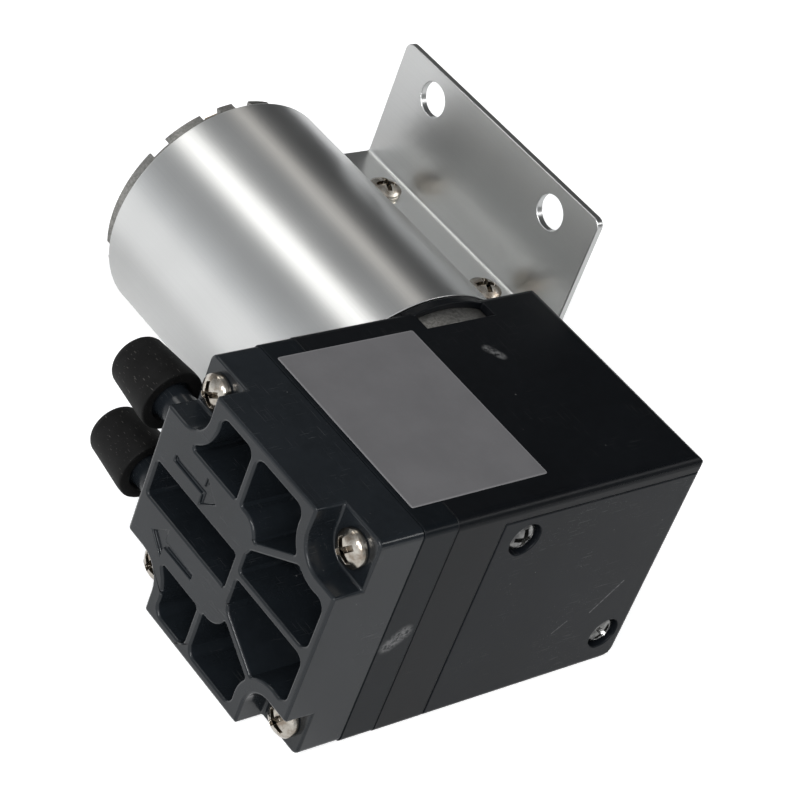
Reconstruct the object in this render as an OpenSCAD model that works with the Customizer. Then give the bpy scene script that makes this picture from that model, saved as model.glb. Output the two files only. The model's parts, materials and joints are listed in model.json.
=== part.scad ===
// Small diaphragm vacuum pump: plastic pump head with two hose nozzles,
// crankcase, brushed motor in a clamped sheet-metal holder.
// X runs from the ribbed head face (-X) to the mounting flange (+X),
// Y runs along the motor shaft towards the motor's rear, Z is up.
// The shaft axis crosses the origin column; the underside is at Z = 0.

/* [Pump block] */
// width of the block along the motor shaft (mm)
block_w = 29; // [28:0.1:31]
// height of the block (mm)
block_h = 28.6; // [28.4:0.1:29.4]
// distance from the ribbed face to the motor shaft (mm)
face_to_shaft = 33; // [32:0.1:36]
// distance from the motor shaft to the rear face of the block (mm)
shaft_to_rear = 13.8; // [13.6:0.1:15]
// radius on the long edges of the block (mm)
edge_r = 0.9; // [0.4:0.1:1.2]
// radius on the rear corners of the block, seen from its side (mm)
corner_r = 1.6; // [0.9:0.1:2]
// thickness of the ribbed head cover (mm)
cover_t = 8.8; // [8.6:0.1:10]
// thickness of the valve plate (mm)
plate_t = 4.2; // [4.2:0.1:5]

/* [Head cover] */
// depth of the pockets between the ribs (mm)
pocket_d = 6.4; // [4:0.1:6.5]
// thickness of the outer rim wall (mm)
rim_wall = 1.2; // [0.9:0.1:1.6]
// thickness of the straight ribs (mm)
rib_t = 1; // [0.7:0.1:1.3]
// width of each raised air channel (mm)
channel_w = 5; // [4.6:0.1:5.4]
// distance between the inlet and outlet channels (mm)
channel_pitch = 9.3; // [9.2:0.1:9.6]
// distance of the middle of both channels below the middle of the block (mm)
channel_drop = 0.45; // [0.3:0.05:0.6]
// diameter of the air passages (mm)
passage_d = 2.2; // [1.5:0.1:2.4]
// depth of the corner notches for the head screws (mm)
notch_d = 3.4; // [3:0.1:4]
// radius of the corner notches about the screw (mm)
notch_r = 3.1; // [2.6:0.1:3.2]
// wall around each corner notch (mm)
notch_wall = 1.65; // [1.35:0.1:1.75]
// distance from the side faces to the head screws (mm)
head_screw_edge = 3; // [2.9:0.1:3.3]

/* [Nozzles and caps] */
// outer diameter of each nozzle (mm)
nozzle_d = 4; // [3.6:0.1:4.2]
// outer diameter of the barbs (mm)
barb_d = 4.6; // [4.3:0.1:4.8]
// length of each nozzle beyond the block (mm)
nozzle_l = 9.6; // [8:0.1:12]
// distance from the block to the open end of the caps (mm)
cap_gap = 3.9; // [3:0.1:5]
// length of the rubber caps (mm)
cap_l = 7.4; // [6.6:0.1:9]
// outer diameter of the caps at the open end (mm)
cap_d_open = 7.2; // [6.8:0.1:7.6]
// outer diameter of the caps at the closed end (mm)
cap_d_tip = 6.2; // [6:0.1:6.8]

/* [Motor] */
// outer diameter of the motor can (mm)
can_d = 27.7; // [27.5:0.1:27.8]
// wall of the motor can (mm)
can_t = 0.9; // [0.7:0.1:1]
// length of the motor can (mm)
can_l = 40.7; // [39:0.1:44]
// diameter of the motor shaft (mm)
shaft_d = 2.3; // [2:0.1:2.4]
// height of the motor shaft above the middle of the block (mm)
shaft_rise = 0.4; // [0.4:0.05:0.6]
// number of armature slots
slots = 5; // [3:1:7]
// spacing of the motor front screws (mm)
motor_screw_pitch = 16; // [15.6:0.1:16.4]

/* [Crank and diaphragm] */
// throw of the eccentric (mm)
throw = 1; // [0.5:0.05:1]
// outer diameter of the eccentric bearing (mm)
bearing_od = 10; // [10:0.1:10.4]
// bore of the eccentric bearing (mm)
bearing_bore = 5; // [4.8:0.1:5]
// width of the eccentric bearing (mm)
bearing_w = 4; // [3.6:0.1:4]
// distance from the top of the block to the edge of the diaphragm (mm)
diaphragm_edge = 1.9; // [1.8:0.1:2.4]
// thickness of the diaphragm web (mm)
web_t = 0.8; // [0.6:0.1:0.9]
// diameter of the rod head and clamp disc (mm)
rod_head_d = 10; // [8:0.1:10.6]

/* [Motor holder] */
// thickness of the holder sheet (mm)
sheet_t = 0.85; // [0.7:0.05:0.9]
// distance from the rear rim of the motor can to the holder (mm)
holder_back = 1.8; // [0.9:0.1:6]
// height of the screw flange above the motor shaft (mm)
screw_flange_rise = 5.8; // [5.3:0.1:6.3]
// distance from the motor can to the inside of the mounting flange (mm)
flange_gap = 6.3; // [6.15:0.05:9]
// height of the mounting flange above the screw flange (mm)
flange_h = 15.3; // [14.5:0.1:19]
// diameter of the mounting holes (mm)
mount_hole_d = 4.1; // [3.2:0.1:4.3]
// spacing of the mounting holes (mm)
mount_pitch = 22; // [18:0.5:24]
// distance from the top of the mounting flange to its holes (mm)
mount_hole_edge = 3.6; // [3.4:0.1:4.3]

/* [Hidden] */
$fn = 48;
eps = 0.01;
fit = 0.03;
run = 0.05;
x_face = -face_to_shaft;
x_plate = x_face + cover_t;
x_case = x_plate + plate_t;
x_rear = shaft_to_rear;
y_side = -block_w / 2;
y_motor = block_w / 2;
screw_y = block_w / 2 - head_screw_edge;
screw_zs = [head_screw_edge, block_h - head_screw_edge];
passage_r = passage_d / 2;
passage_x = x_face + cover_t / 2;
mid_channel_z = block_h / 2 - channel_drop;
inlet_z = mid_channel_z + channel_pitch / 2;
outlet_z = mid_channel_z - channel_pitch / 2;
shaft_z = block_h / 2 + shaft_rise;
seal_l = 10.4;
seal_r = 6;
seal_t = 1.2;
seal_d = 0.8;
arrow_y = 7.5;
arrow_l = 7.3;

// head screws
head_screw_r = 1.25;
head_screw_head_r = 1.9;
head_screw_head_h = 1.7;
head_screw_l = 16;

// side cover
side_start = 6.6;
side_x0 = x_case + side_start;
side_drop = 2;
side_h = block_h - side_drop;
side_t = 2;
side_gap = 0.08;
side_screw_in = 3.8;
side_screw_back = 3.4;
side_screw_top = 3;
side_screw_low = 4.5;
side_screw_at = [[side_x0 + side_screw_in, side_h - side_screw_top],
                 [x_rear - side_screw_back, side_screw_low]];
side_recess_r = 1.95;
side_recess_d = 1.15;
side_head_r = 1.75;
side_head_h = 1.1;
side_screw_r = 1;
side_screw_l = 7;

// motor seat
seat_depth = 3;
y_can = y_motor - seat_depth;
can_r = can_d / 2;
can_in = can_r - can_t;
seat_r = can_r + run;
collar_t = 0.8;
collar_r = seat_r + collar_t;
collar_w = 1;
collar_out = 0.1;
collar_y1 = y_motor + collar_out;
collar_y0 = collar_y1 - collar_w;
boss_r = 5;
boss_l = 2.1;
motor_screw_r = 1.25;
motor_screw_l = 5;
motor_head_r = 2.2;
motor_head_h = 1.6;
end_cap_in = 3.6;
end_cap_sunk = 1.4;
y_rim = y_can + can_l;
y_cap0 = y_rim - end_cap_in;
y_cap1 = y_rim - end_cap_sunk;
rim_lip = 0.85;
rim_in = can_in - rim_lip;
rim_notch_w = 2.2;
rim_notch_d = 0.85;
shaft_r = shaft_d / 2;
bush_r = 3.5;
window_left = 4.1;
window_right = 5.3;
window_d = 2.6;

// crank chamber
chamber_wall = 2.5;
chamber_lip = 0.9;
motor_wall = 3;
chamber_corner = 1.5;
chamber_x0 = side_x0 + chamber_lip;
chamber_x1 = x_rear - chamber_wall;
chamber_z0 = chamber_wall;
chamber_z1 = block_h - chamber_wall;
chamber_y1 = y_can - motor_wall;
post_r = 2.6;

// diaphragm stack at rest, the eccentric pointing at the head
bead_w = 1.6;
bead_h = 1.6;
dia_r = block_h - shaft_z - diaphragm_edge;
bore_step = 3;
bore_r = dia_r - bore_step;
head_r = rod_head_d / 2;
centre_t = 1.2;
dia_lead = 0.6;
dia_front = x_case - dia_lead;
dia_back = dia_front + centre_t;
disc_t = 1;
chamber_depth = 1.9;
dia_screw_r = 1;
dia_screw_head_r = 1.9;
dia_screw_l = 8;
pin_x = -throw;

// valves
flap_t = 0.4;
flap_w = 4.8;
flap_len = 4.4;
flap_recess = 1.2;
out_recess = 0.8;
out_cavity = 1.4;
recess_side = 5.8;
x_in_seat = x_case - chamber_depth - flap_recess;
x_out_seat = x_plate + out_recess;
bead_side = 0.3;

// eccentric
hub_r = 5;
hub_y0 = 2.3;
hub_l = 5;
grub_r = 1.25;
grub_y = 2.9;
clip_t = 0.5;
clip_y = 0.7;
clip_out = 0.9;
pin_end = 1.1;
eye_t = 2;
rod_disc_t = 2;
rod_cone = 3;
rod_neck_r = 2.2;
rod_h = 6;
race_t = 0.75;
ball_r = 0.8;
balls = 8;
cage_w = 1.4;
cage_t = 0.5;
pitch_r = (bearing_bore + bearing_od) / 4;
groove_r = ball_r + 0.02;

// armature
magnet_t = 2.7;
magnet_front = 4.5;
magnet_back = 4.6;
magnet_in = can_in - magnet_t;
magnet_y0 = y_can + magnet_front;
magnet_y1 = y_cap0 - magnet_back;
clip_back = 4;
air_gap = 0.45;
core_r = magnet_in - air_gap;
tip_in = core_r * 0.857;
core_hub_r = core_r * 0.35;
core_front = 8.5;
core_back = 8.6;
core_y0 = y_can + core_front;
core_y1 = y_cap0 - core_back;
core_l = core_y1 - core_y0;
tooth_w = core_r * 0.265;
slot_w = 1.4;
wind_x0 = core_r * 0.46;
wind_gap = 0.7;
wind_over = 1.6;
spacer_r = 2.2;
spacer_gap = 2.1;
com_r = 3.2;
com_l = 3.5;
com_back = 5.1;
com_y0 = y_cap0 - com_back;
brush_gap = 0.02;
brush_l = 1.5;
brush_w = 2;
arm_t = 0.3;
arm_y = 0.8;
arm_h = 7.5;
arm_low = 1.5;

// end cap
end_boss_r = 4.6;
end_bush_r = 3.2;
end_bush_back = 0.6;
end_recess_r = 7;
tab_w = 2;
tab_t = 0.45;
tab_l = 3.05;
tab_up = 5;
tab_hole_r = 0.55;
earth_w = 1.6;
earth_t = 0.35;
earth_in = 3.7;
earth_end = 0.3;

// label
label_w = 17.5;
label_h = 22.8;
label_t = 0.12;
label_x = x_face + 9.3;
label_y = y_side + 3.25;

// holder
hold_front = 0.3;
hold_y0 = y_motor + hold_front;
hold_y1 = y_rim - holder_back;
holder_w = hold_y1 - hold_y0;
strap_r = can_r + sheet_t;
screw_flange_z = shaft_z + screw_flange_rise;
flange_x = can_r + flange_gap;
flange_top = screw_flange_z + flange_h;
mount_hole_z = flange_top - mount_hole_edge;
flange_corner = 1;
lug_gap = 0.9;
clamp_screw_r = 1;
clamp_head_r = 1.75;
clamp_head_h = 1.3;
clamp_screw_l = 5.2;
nut_w = 4;
nut_r = nut_w / sqrt(3);
nut_h = 1.6;
clamp_x = strap_r + nut_w / 2;
clamp_in = 8.5;
clamp_back = 7.7;
clamp_ys = [hold_y0 + clamp_in, hold_y1 - clamp_back];
mount_shift = 0.1;
mount_y = (hold_y0 + hold_y1) / 2 + mount_shift;
mount_ys = [mount_y - mount_pitch / 2, mount_y + mount_pitch / 2];
fold_r = 1.5;
bend_r = 1.2;

// extrusions and revolved shapes along each axis
module along_x(x0, x1) {
  translate([x0, 0, 0]) rotate([90, 0, 90])
    linear_extrude(x1 - x0) children();
}

module along_y(y0, y1) {
  translate([0, y1, 0]) rotate([90, 0, 0])
    linear_extrude(y1 - y0) children();
}

module along_z(z0, z1) {
  translate([0, 0, z0]) linear_extrude(z1 - z0) children();
}

module about_x() {
  rotate([0, 90, 0]) rotate_extrude() children();
}

module about_y() {
  rotate([-90, 0, 0]) rotate_extrude() children();
}

module x_cyl(x0, x1, r, y, z) {
  translate([x0, y, z]) rotate([0, 90, 0]) cylinder(h = x1 - x0, r = r);
}

module y_cyl(y0, y1, r, x, z) {
  translate([x, y0, z]) rotate([-90, 0, 0]) cylinder(h = y1 - y0, r = r);
}

module z_cyl(z0, z1, r, x, y) {
  translate([x, y, z0]) cylinder(h = z1 - z0, r = r);
}

module rounded(w, h, r) {
  translate([r, 0]) square([w - 2 * r, h]);
  translate([0, r]) square([w, h - 2 * r]);
  for (u = [r, w - r])
    for (v = [r, h - r])
      translate([u, v]) circle(r);
}

// block section across X, with rounded long edges
module block_section(inset) {
  translate([y_side + inset, inset])
    rounded(block_w - 2 * inset, block_h - 2 * inset, edge_r);
}

// cross recess for a pan head, cut from the head top along +Z
module cross_cut(r, depth) {
  for (a = [0, 90])
    rotate([0, 0, a])
      translate([-r * 0.58, -r * 0.13, -depth])
        cube([r * 1.16, r * 0.26, depth + 0.5]);
  translate([0, 0, -depth - r * 0.15])
    cylinder(h = depth + r * 0.15 + eps, r1 = 0.05, r2 = r * 0.3);
}

// pan head screw pointing down -Z, seated with the head underside at Z = 0
module pan_screw(head_r, head_h, shank_r, len) {
  crown = head_h * 0.55;
  dome = (head_r * head_r + crown * crown) / (2 * crown);
  difference() {
    union() {
      cylinder(h = head_h - crown, r = head_r);
      intersection() {
        translate([0, 0, head_h - dome]) sphere(dome);
        translate([0, 0, head_h - crown])
          cylinder(h = crown + 1, r = head_r);
      }
      translate([0, 0, -len]) cylinder(h = len + eps, r = shank_r);
    }
    translate([0, 0, head_h]) cross_cut(head_r, head_h * 0.72);
  }
}

// region of one corner notch, open towards both outer faces
module notch_2d(sy, z) {
  sz = z > block_h / 2 ? 1 : -1;
  w = head_screw_edge + 1;
  translate([sy * screw_y, z]) {
    circle(notch_r);
    mirror([sy < 0 ? 1 : 0, 0])
      mirror([0, sz < 0 ? 1 : 0]) {
        translate([-notch_r, 0]) square([notch_r + w, w]);
        translate([0, -notch_r]) square([w, notch_r + w]);
      }
  }
}

module notches_2d() {
  for (sy = [-1, 1])
    for (z = screw_zs)
      notch_2d(sy, z);
}

// solid areas of the ribbed face: channels, notch walls and ribs
module channel_bar(z, w) {
  translate([0, z]) circle(w / 2);
  translate([0, z - w / 2]) square([block_w / 2 + 1, w]);
}

module ribs_2d() {
  channel_bar(inlet_z, channel_w);
  channel_bar(outlet_z, channel_w);
  for (sy = [-1, 1])
    for (z = screw_zs)
      translate([sy * screw_y, z]) circle(notch_r + notch_wall);
  translate([1.2 - rib_t / 2, inlet_z]) square([rib_t, block_h]);
  translate([1.2 - rib_t / 2, outlet_z - block_h]) square([rib_t, block_h]);
  translate([-1.4 - rib_t * 0.65, outlet_z])
    square([rib_t * 1.3, inlet_z - outlet_z]);
  translate([y_side, mid_channel_z + 0.45 - rib_t / 2])
    square([-y_side - 1.4, rib_t]);
  for (s = [-1, 1])
    translate([-5.5, mid_channel_z + s * 6.45])
      rotate([0, 0, -s * 31])
        square([9.6, rib_t * 0.95], center = true);
}

module pockets_2d() {
  difference() {
    translate([y_side + rim_wall, rim_wall])
      rounded(block_w - 2 * rim_wall, block_h - 2 * rim_wall - 0.3, 0.8);
    ribs_2d();
  }
}

// flow arrow in the YZ plane, pointing along +Y, centred on its shaft
module arrow_2d(len) {
  translate([-len / 2, -0.4]) square([len - 1.6, 0.8]);
  translate([len / 2 - 2.2, -1.75]) polygon([[0, 0], [2.2, 1.75], [0, 3.5]]);
}

module nozzle(z) {
  y0 = y_motor - 0.5;
  y1 = y_motor + nozzle_l;
  y_cyl(y0, y1 - 1, nozzle_d / 2, passage_x, z);
  y_cyl(y0, y_motor + 0.7, nozzle_d / 2 + 0.5, passage_x, z);
  for (y = [y1 - 5, y1 - 2.4])
    translate([passage_x, y, z]) rotate([-90, 0, 0])
      cylinder(h = 2.4, r1 = barb_d / 2, r2 = nozzle_d / 2 - 0.15);
}

module head_cover() {
  color("#53575c") difference() {
    union() {
      intersection() {
        along_x(x_face, x_plate) block_section(0.15);
        along_z(0, block_h)
          translate([x_face, y_side]) rounded(cover_t + 4, block_w, 0.6);
        along_y(y_side, y_motor)
          translate([x_face, 0]) rounded(cover_t + 4, block_h, 0.6);
      }
      nozzle(inlet_z);
      nozzle(outlet_z);
    }
    along_x(x_face - 1, x_face + pocket_d) pockets_2d();
    along_x(x_face - 1, x_face + notch_d) notches_2d();
    for (sy = [-1, 1])
      for (z = screw_zs)
        x_cyl(x_face, x_plate + 1, head_screw_r + 0.15, sy * screw_y, z);
    for (z = [inlet_z, outlet_z]) {
      y_cyl(-passage_r, y_motor + nozzle_l + 1, passage_r, passage_x, z);
      x_cyl(passage_x, x_plate + 1, passage_r, 0, z);
    }
    translate([x_plate - out_cavity, -recess_side / 2,
               outlet_z - recess_side / 2])
      cube([out_cavity + 1, recess_side, recess_side]);
    along_x(x_face - 1, x_face + 0.35) {
      translate([arrow_y, inlet_z - 0.2]) mirror([1, 0]) arrow_2d(arrow_l);
      translate([arrow_y - 0.2, outlet_z - 0.3]) arrow_2d(arrow_l);
    }
  }
}

// stadium ring seal between cover and valve plate, around both ports
module ring_2d(half_l, half_w) {
  for (s = [-1, 1])
    translate([0, mid_channel_z + s * (half_l - half_w)]) circle(half_w);
  translate([-half_w, mid_channel_z - half_l + half_w])
    square([2 * half_w, 2 * (half_l - half_w)]);
}

module head_gasket() {
  color("#26282a") along_x(x_plate, x_plate + seal_d) difference() {
    ring_2d(seal_l, seal_r);
    ring_2d(seal_l - seal_t, seal_r - seal_t);
  }
}

module valve_plate() {
  color("#2c2f33") difference() {
    along_x(x_plate, x_case) block_section(0.05);
    for (sy = [-1, 1])
      for (z = screw_zs)
        x_cyl(x_plate - 1, x_case + 1, head_screw_r + 0.15,
              sy * screw_y, z);
    along_x(x_plate - 1, x_plate + seal_d) difference() {
      ring_2d(seal_l + fit, seal_r + fit);
      ring_2d(seal_l - seal_t - fit, seal_r - seal_t - fit);
    }
    x_cyl(x_case - chamber_depth, x_case + 1, bore_r, 0, shaft_z);
    x_cyl(x_plate - 1, x_in_seat + 1, passage_r, 0, inlet_z);
    x_cyl(x_plate, x_case, passage_r, 0, outlet_z);
    translate([x_in_seat, -recess_side / 2, inlet_z - recess_side / 2])
      cube([flap_recess + 0.5, recess_side, recess_side]);
    translate([x_plate - 1, -recess_side / 2, outlet_z - recess_side / 2])
      cube([out_recess + 1, recess_side, recess_side]);
  }
}

// rubber tongue hanging from a round root bead; opens to the side of x_dir
module flap(x_seat, x_dir, z) {
  top = z + recess_side / 2 - 0.4;
  xa = x_dir > 0 ? x_seat : x_seat - flap_t;
  translate([xa, -flap_w / 2, top - flap_len - 0.3])
    cube([flap_t, flap_w, flap_len + 0.3]);
  y_cyl(-flap_w / 2 - bead_side, flap_w / 2 + bead_side, flap_t / 2 + 0.05,
        xa + flap_t / 2 + x_dir * 0.05, top);
}

module inlet_flap() {
  color("#1c1c1e") flap(x_in_seat, 1, inlet_z);
}

module outlet_flap() {
  color("#1c1c1e") flap(x_out_seat, -1, outlet_z);
}

module diaphragm() {
  bead_in = dia_r - bead_w;
  color("#202022") difference() {
    translate([0, 0, shaft_z]) about_x() polygon([
      [0, dia_front], [head_r + 0.6, dia_front], [bore_r - 0.2, x_case],
      [dia_r, x_case], [dia_r, x_case + bead_h],
      [bead_in, x_case + bead_h], [bead_in, x_case + web_t],
      [bore_r - 0.4, x_case + web_t],
      [head_r + 1.2, dia_front + web_t], [head_r, dia_back], [0, dia_back]
    ]);
    x_cyl(x_case - 3, x_case + 3, dia_screw_r + fit, 0, shaft_z);
  }
}

module clamp_disc() {
  color("#c9ccd0") difference() {
    x_cyl(dia_front - disc_t, dia_front, head_r, 0, shaft_z);
    translate([dia_front - disc_t, 0, shaft_z]) rotate([0, 90, 0])
      cylinder(h = disc_t, r1 = dia_screw_head_r + fit,
               r2 = dia_screw_r + fit);
  }
}

module diaphragm_screw() {
  color("#b9bcc0") translate([dia_front - disc_t, 0, shaft_z])
    rotate([0, 90, 0]) difference() {
      union() {
        cylinder(h = disc_t, r1 = dia_screw_head_r, r2 = dia_screw_r);
        cylinder(h = dia_screw_l, r = dia_screw_r);
      }
      rotate([180, 0, 0]) cross_cut(dia_screw_head_r, 0.6);
    }
}

module connecting_rod() {
  color("#d8d6cf") difference() {
    union() {
      y_cyl(-bearing_w / 2, bearing_w / 2, bearing_od / 2 + eye_t,
            pin_x, shaft_z);
      x_cyl(dia_back, dia_back + rod_disc_t, head_r, 0, shaft_z);
      translate([dia_back + rod_disc_t, 0, shaft_z]) rotate([0, 90, 0])
        cylinder(h = rod_cone, r1 = head_r, r2 = rod_neck_r);
      translate([dia_back + rod_disc_t, -bearing_w / 2, shaft_z - rod_h / 2])
        cube([pin_x - dia_back - rod_disc_t - bearing_od / 2 - 0.5,
              bearing_w, rod_h]);
    }
    y_cyl(-bearing_w, bearing_w, bearing_od / 2, pin_x, shaft_z);
    x_cyl(dia_back - 1, dia_front - disc_t + dia_screw_l + 0.4,
          dia_screw_r + fit, 0, shaft_z);
  }
}

// one bearing ring between two radii, with the ball groove cut in it
module race(r0, r1) {
  translate([pin_x, 0, shaft_z]) about_y() difference() {
    translate([r0, -bearing_w / 2]) square([r1 - r0, bearing_w]);
    translate([pitch_r, 0]) circle(groove_r);
  }
}

module bearing_outer() {
  color("#b7babd") race(bearing_od / 2 - race_t, bearing_od / 2);
}

module bearing_inner() {
  color("#c4c6c9") race(bearing_bore / 2, bearing_bore / 2 + race_t);
}

module bearing_balls() {
  color("#8f9296") translate([pin_x, 0, shaft_z]) {
    difference() {
      translate([0, -cage_w / 2, 0]) rotate([-90, 0, 0])
        cylinder(h = cage_w, r = pitch_r + cage_t / 2);
      translate([0, -cage_w, 0]) rotate([-90, 0, 0])
        cylinder(h = 2 * cage_w, r = pitch_r - cage_t / 2);
    }
    for (i = [0:balls - 1])
      rotate([0, i * 360 / balls, 0])
        translate([pitch_r, 0, 0]) sphere(ball_r, $fn = 32);
  }
}

module eccentric() {
  color("#b9924a") difference() {
    union() {
      y_cyl(hub_y0, hub_y0 + hub_l, hub_r, 0, shaft_z);
      y_cyl(bearing_w / 2, hub_y0 + 1, bearing_bore / 2 + 0.6,
            pin_x, shaft_z);
      y_cyl(-bearing_w / 2 - pin_end, bearing_w / 2 + 0.5,
            bearing_bore / 2, pin_x, shaft_z);
    }
    y_cyl(hub_y0 - 0.3, hub_y0 + hub_l + 5, shaft_r, 0, shaft_z);
    x_cyl(0, hub_r + 1, grub_r, hub_y0 + grub_y, shaft_z);
    translate([pin_x, -bearing_w / 2 - clip_y, shaft_z]) rotate([-90, 0, 0])
      difference() {
        cylinder(h = clip_t, r = bearing_bore / 2 + 1);
        translate([0, 0, -0.5])
          cylinder(h = clip_t + 1.5, r = bearing_bore / 2 - clip_t);
      }
  }
}

module grub_screw() {
  color("#4b4d50") difference() {
    x_cyl(shaft_r, hub_r - 0.6, grub_r, hub_y0 + grub_y, shaft_z);
    translate([hub_r - 1.8, hub_y0 + grub_y, shaft_z]) rotate([0, 90, 0])
      cylinder(h = 3, r = grub_r * 0.6, $fn = 6);
  }
}

module pin_clip() {
  color("#9ea1a5") translate([pin_x, -bearing_w / 2 - clip_y, shaft_z])
    rotate([-90, 0, 0]) difference() {
      cylinder(h = clip_t, r = bearing_bore / 2 + clip_out);
      translate([0, 0, -1])
        cylinder(h = clip_t + 2, r = bearing_bore / 2 - clip_t);
      translate([-bearing_bore * 0.24, 0, -1])
        cube([bearing_bore * 0.48, 8, clip_t + 2]);
    }
}

// crankcase with its chamber, diaphragm seat, motor seat and window
module chamber_2d() {
  difference() {
    translate([chamber_x0, chamber_z0])
      rounded(chamber_x1 - chamber_x0, chamber_z1 - chamber_z0,
              chamber_corner);
    for (p = side_screw_at)
      translate(p) {
        s = p[0] < 0 ? -1 : 1;
        circle(post_r);
        translate([s < 0 ? -6 : 0, s < 0 ? 0 : -6]) square(6);
        translate([s < 0 ? -6 : 0, s < 0 ? -post_r : 0])
          square([6, post_r]);
        translate([s < 0 ? 0 : -post_r, s < 0 ? 0 : -6])
          square([post_r, 6]);
      }
  }
}

module crankcase() {
  color("#1b1c1e") difference() {
    union() {
      intersection() {
        along_x(x_case, x_rear) block_section(0);
        along_z(0, block_h) translate([x_case - 4, y_side])
          rounded(x_rear - x_case + 4, block_w, edge_r);
        along_y(y_side, y_motor) translate([x_case - 4, 0])
          rounded(x_rear - x_case + 4, block_h, corner_r);
      }
      intersection() {
        union() {
          y_cyl(collar_y0, collar_y1, collar_r, 0, shaft_z);
          intersection() {
            y_cyl(y_can - 1, collar_y1, collar_r, 0, shaft_z);
            cube([30, 30, block_h - 3]);
          }
        }
        translate([-30, 0, 0]) cube([60, 40, 60]);
      }
    }
    translate([side_x0 - side_gap, y_side - 1, -1])
      cube([40, side_t + 1, side_h + side_gap + 1]);
    along_y(y_side + side_t - eps, chamber_y1) chamber_2d();
    x_cyl(x_case - 1, chamber_x0 + 1, bore_r, 0, shaft_z);
    translate([0, 0, shaft_z]) about_x() polygon([
      [dia_r - bead_w - fit, x_case - 1], [dia_r + fit, x_case - 1],
      [dia_r + fit, x_case + bead_h + fit],
      [dia_r - bead_w - fit, x_case + bead_h + fit]
    ]);
    translate([0, 0, shaft_z]) about_x() polygon([
      [0, x_case - 1], [dia_r - 1, x_case - 1],
      [dia_r - 1, x_case + web_t], [head_r + 1, x_case + web_t],
      [0, x_case + web_t]
    ]);
    for (sy = [-1, 1])
      for (z = screw_zs)
        x_cyl(x_case - 1, x_face + notch_d + head_screw_l + 0.5,
              head_screw_r + fit, sy * screw_y, z);
    for (p = side_screw_at)
      y_cyl(y_side, y_side + side_recess_d + side_screw_l + 0.5,
            side_screw_r + fit, p[0], p[1]);
    y_cyl(y_can, collar_y1 + 1, seat_r, 0, shaft_z);
    y_cyl(chamber_y1 - 1, y_can + 1, boss_r + 0.1, 0, shaft_z);
    for (s = [-1, 1])
      y_cyl(chamber_y1 - 1, y_can + 1, motor_screw_r + 0.15,
            s * motor_screw_pitch / 2, shaft_z);
    translate([-window_left, y_can, block_h - window_d])
      cube([window_left + window_right, collar_y0 - y_can, 10]);
  }
}

module side_cover() {
  color("#34373b") difference() {
    intersection() {
      translate([side_x0, y_side, 0])
        cube([x_rear - side_x0, side_t, side_h]);
      along_x(x_case, x_rear) block_section(0);
      along_z(0, block_h) translate([x_case - 4, y_side])
        rounded(x_rear - x_case + 4, block_w, edge_r);
      along_y(y_side, y_motor) translate([x_case - 4, 0])
        rounded(x_rear - x_case + 4, block_h, corner_r);
    }
    for (p = side_screw_at) {
      y_cyl(y_side - 1, y_side + side_recess_d, side_recess_r,
            p[0], p[1]);
      y_cyl(y_side, y_side + side_t + 1, side_screw_r + 0.1, p[0], p[1]);
    }
  }
}

module side_cover_screws() {
  color("#8a8d91") for (p = side_screw_at)
    translate([p[0], y_side + side_recess_d, p[1]]) rotate([90, 0, 0])
      pan_screw(side_head_r, side_head_h, side_screw_r, side_screw_l);
}

module head_screws() {
  color("#b0a795")
    for (sy = [-1, 1])
      for (z = screw_zs)
        translate([x_face + notch_d, sy * screw_y, z])
          rotate([0, -90, 0])
            pan_screw(head_screw_head_r, head_screw_head_h,
                      head_screw_r, head_screw_l);
}

module label() {
  color("#7b7b7f") along_z(block_h, block_h + label_t)
    translate([label_x, label_y]) rounded(label_w, label_h, 0.5);
}

// motor: can, magnets, armature, brush gear and end cap
module motor_screws() {
  color("#a7a9ac") for (s = [-1, 1])
    translate([s * motor_screw_pitch / 2, chamber_y1, shaft_z])
      rotate([90, 0, 0])
        pan_screw(motor_head_r, motor_head_h, motor_screw_r, motor_screw_l);
}

module motor_can() {
  color("#9a9c9e") difference() {
    union() {
      y_cyl(y_can, y_rim, can_r, 0, shaft_z);
      y_cyl(y_can - boss_l, y_can + 1, boss_r, 0, shaft_z);
    }
    y_cyl(y_can + 1, y_cap1, can_in, 0, shaft_z);
    y_cyl(y_cap1 - 1, y_rim + 1, rim_in, 0, shaft_z);
    y_cyl(y_can - boss_l + 0.5, y_can + 2, bush_r, 0, shaft_z);
    y_cyl(y_can - boss_l - 1, y_can + 2, shaft_r + 0.4, 0, shaft_z);
    for (s = [-1, 1])
      y_cyl(y_can - 1, y_can + 2, motor_screw_r + fit,
            s * motor_screw_pitch / 2, shaft_z);
    for (a = [19.5, 48.5, 70.5, 92, 109.5, 138.5])
      for (f = [0, 180])
        translate([0, y_rim - rim_notch_d, shaft_z])
          rotate([0, -a - f, 0])
            translate([rim_in - 2, 0, -rim_notch_w / 2])
              cube([6, 1, rim_notch_w]);
  }
}

module front_bearing() {
  color("#b08d57") difference() {
    y_cyl(y_can - boss_l + 0.5, y_can + 1, bush_r, 0, shaft_z);
    y_cyl(0, 30, shaft_r + 0.02, 0, shaft_z);
  }
}

module arc_2d(r0, r1, half) {
  difference() {
    circle(r1);
    circle(r0);
    for (s = [-1, 1])
      rotate([0, 0, s * half]) translate([-30, s < 0 ? -60 : 0])
        square([60, 60]);
  }
}

module magnets() {
  color("#3b3c3e") for (a = [0, 180])
    along_y(magnet_y0, magnet_y1) translate([0, shaft_z])
      rotate([0, 0, a]) arc_2d(magnet_in, can_in, 58);
}

module magnet_clips() {
  color("#85888c") for (a = [90, 270])
    along_y(magnet_y0 + clip_back, magnet_y1 - clip_back)
      translate([0, shaft_z]) rotate([0, 0, a])
        arc_2d(can_in - rim_lip * 0.7, can_in, 29);
}

module motor_shaft() {
  color("#d3d5d7") y_cyl(hub_y0 - 0.2, y_rim - 0.2, shaft_r, 0, shaft_z);
}

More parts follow.
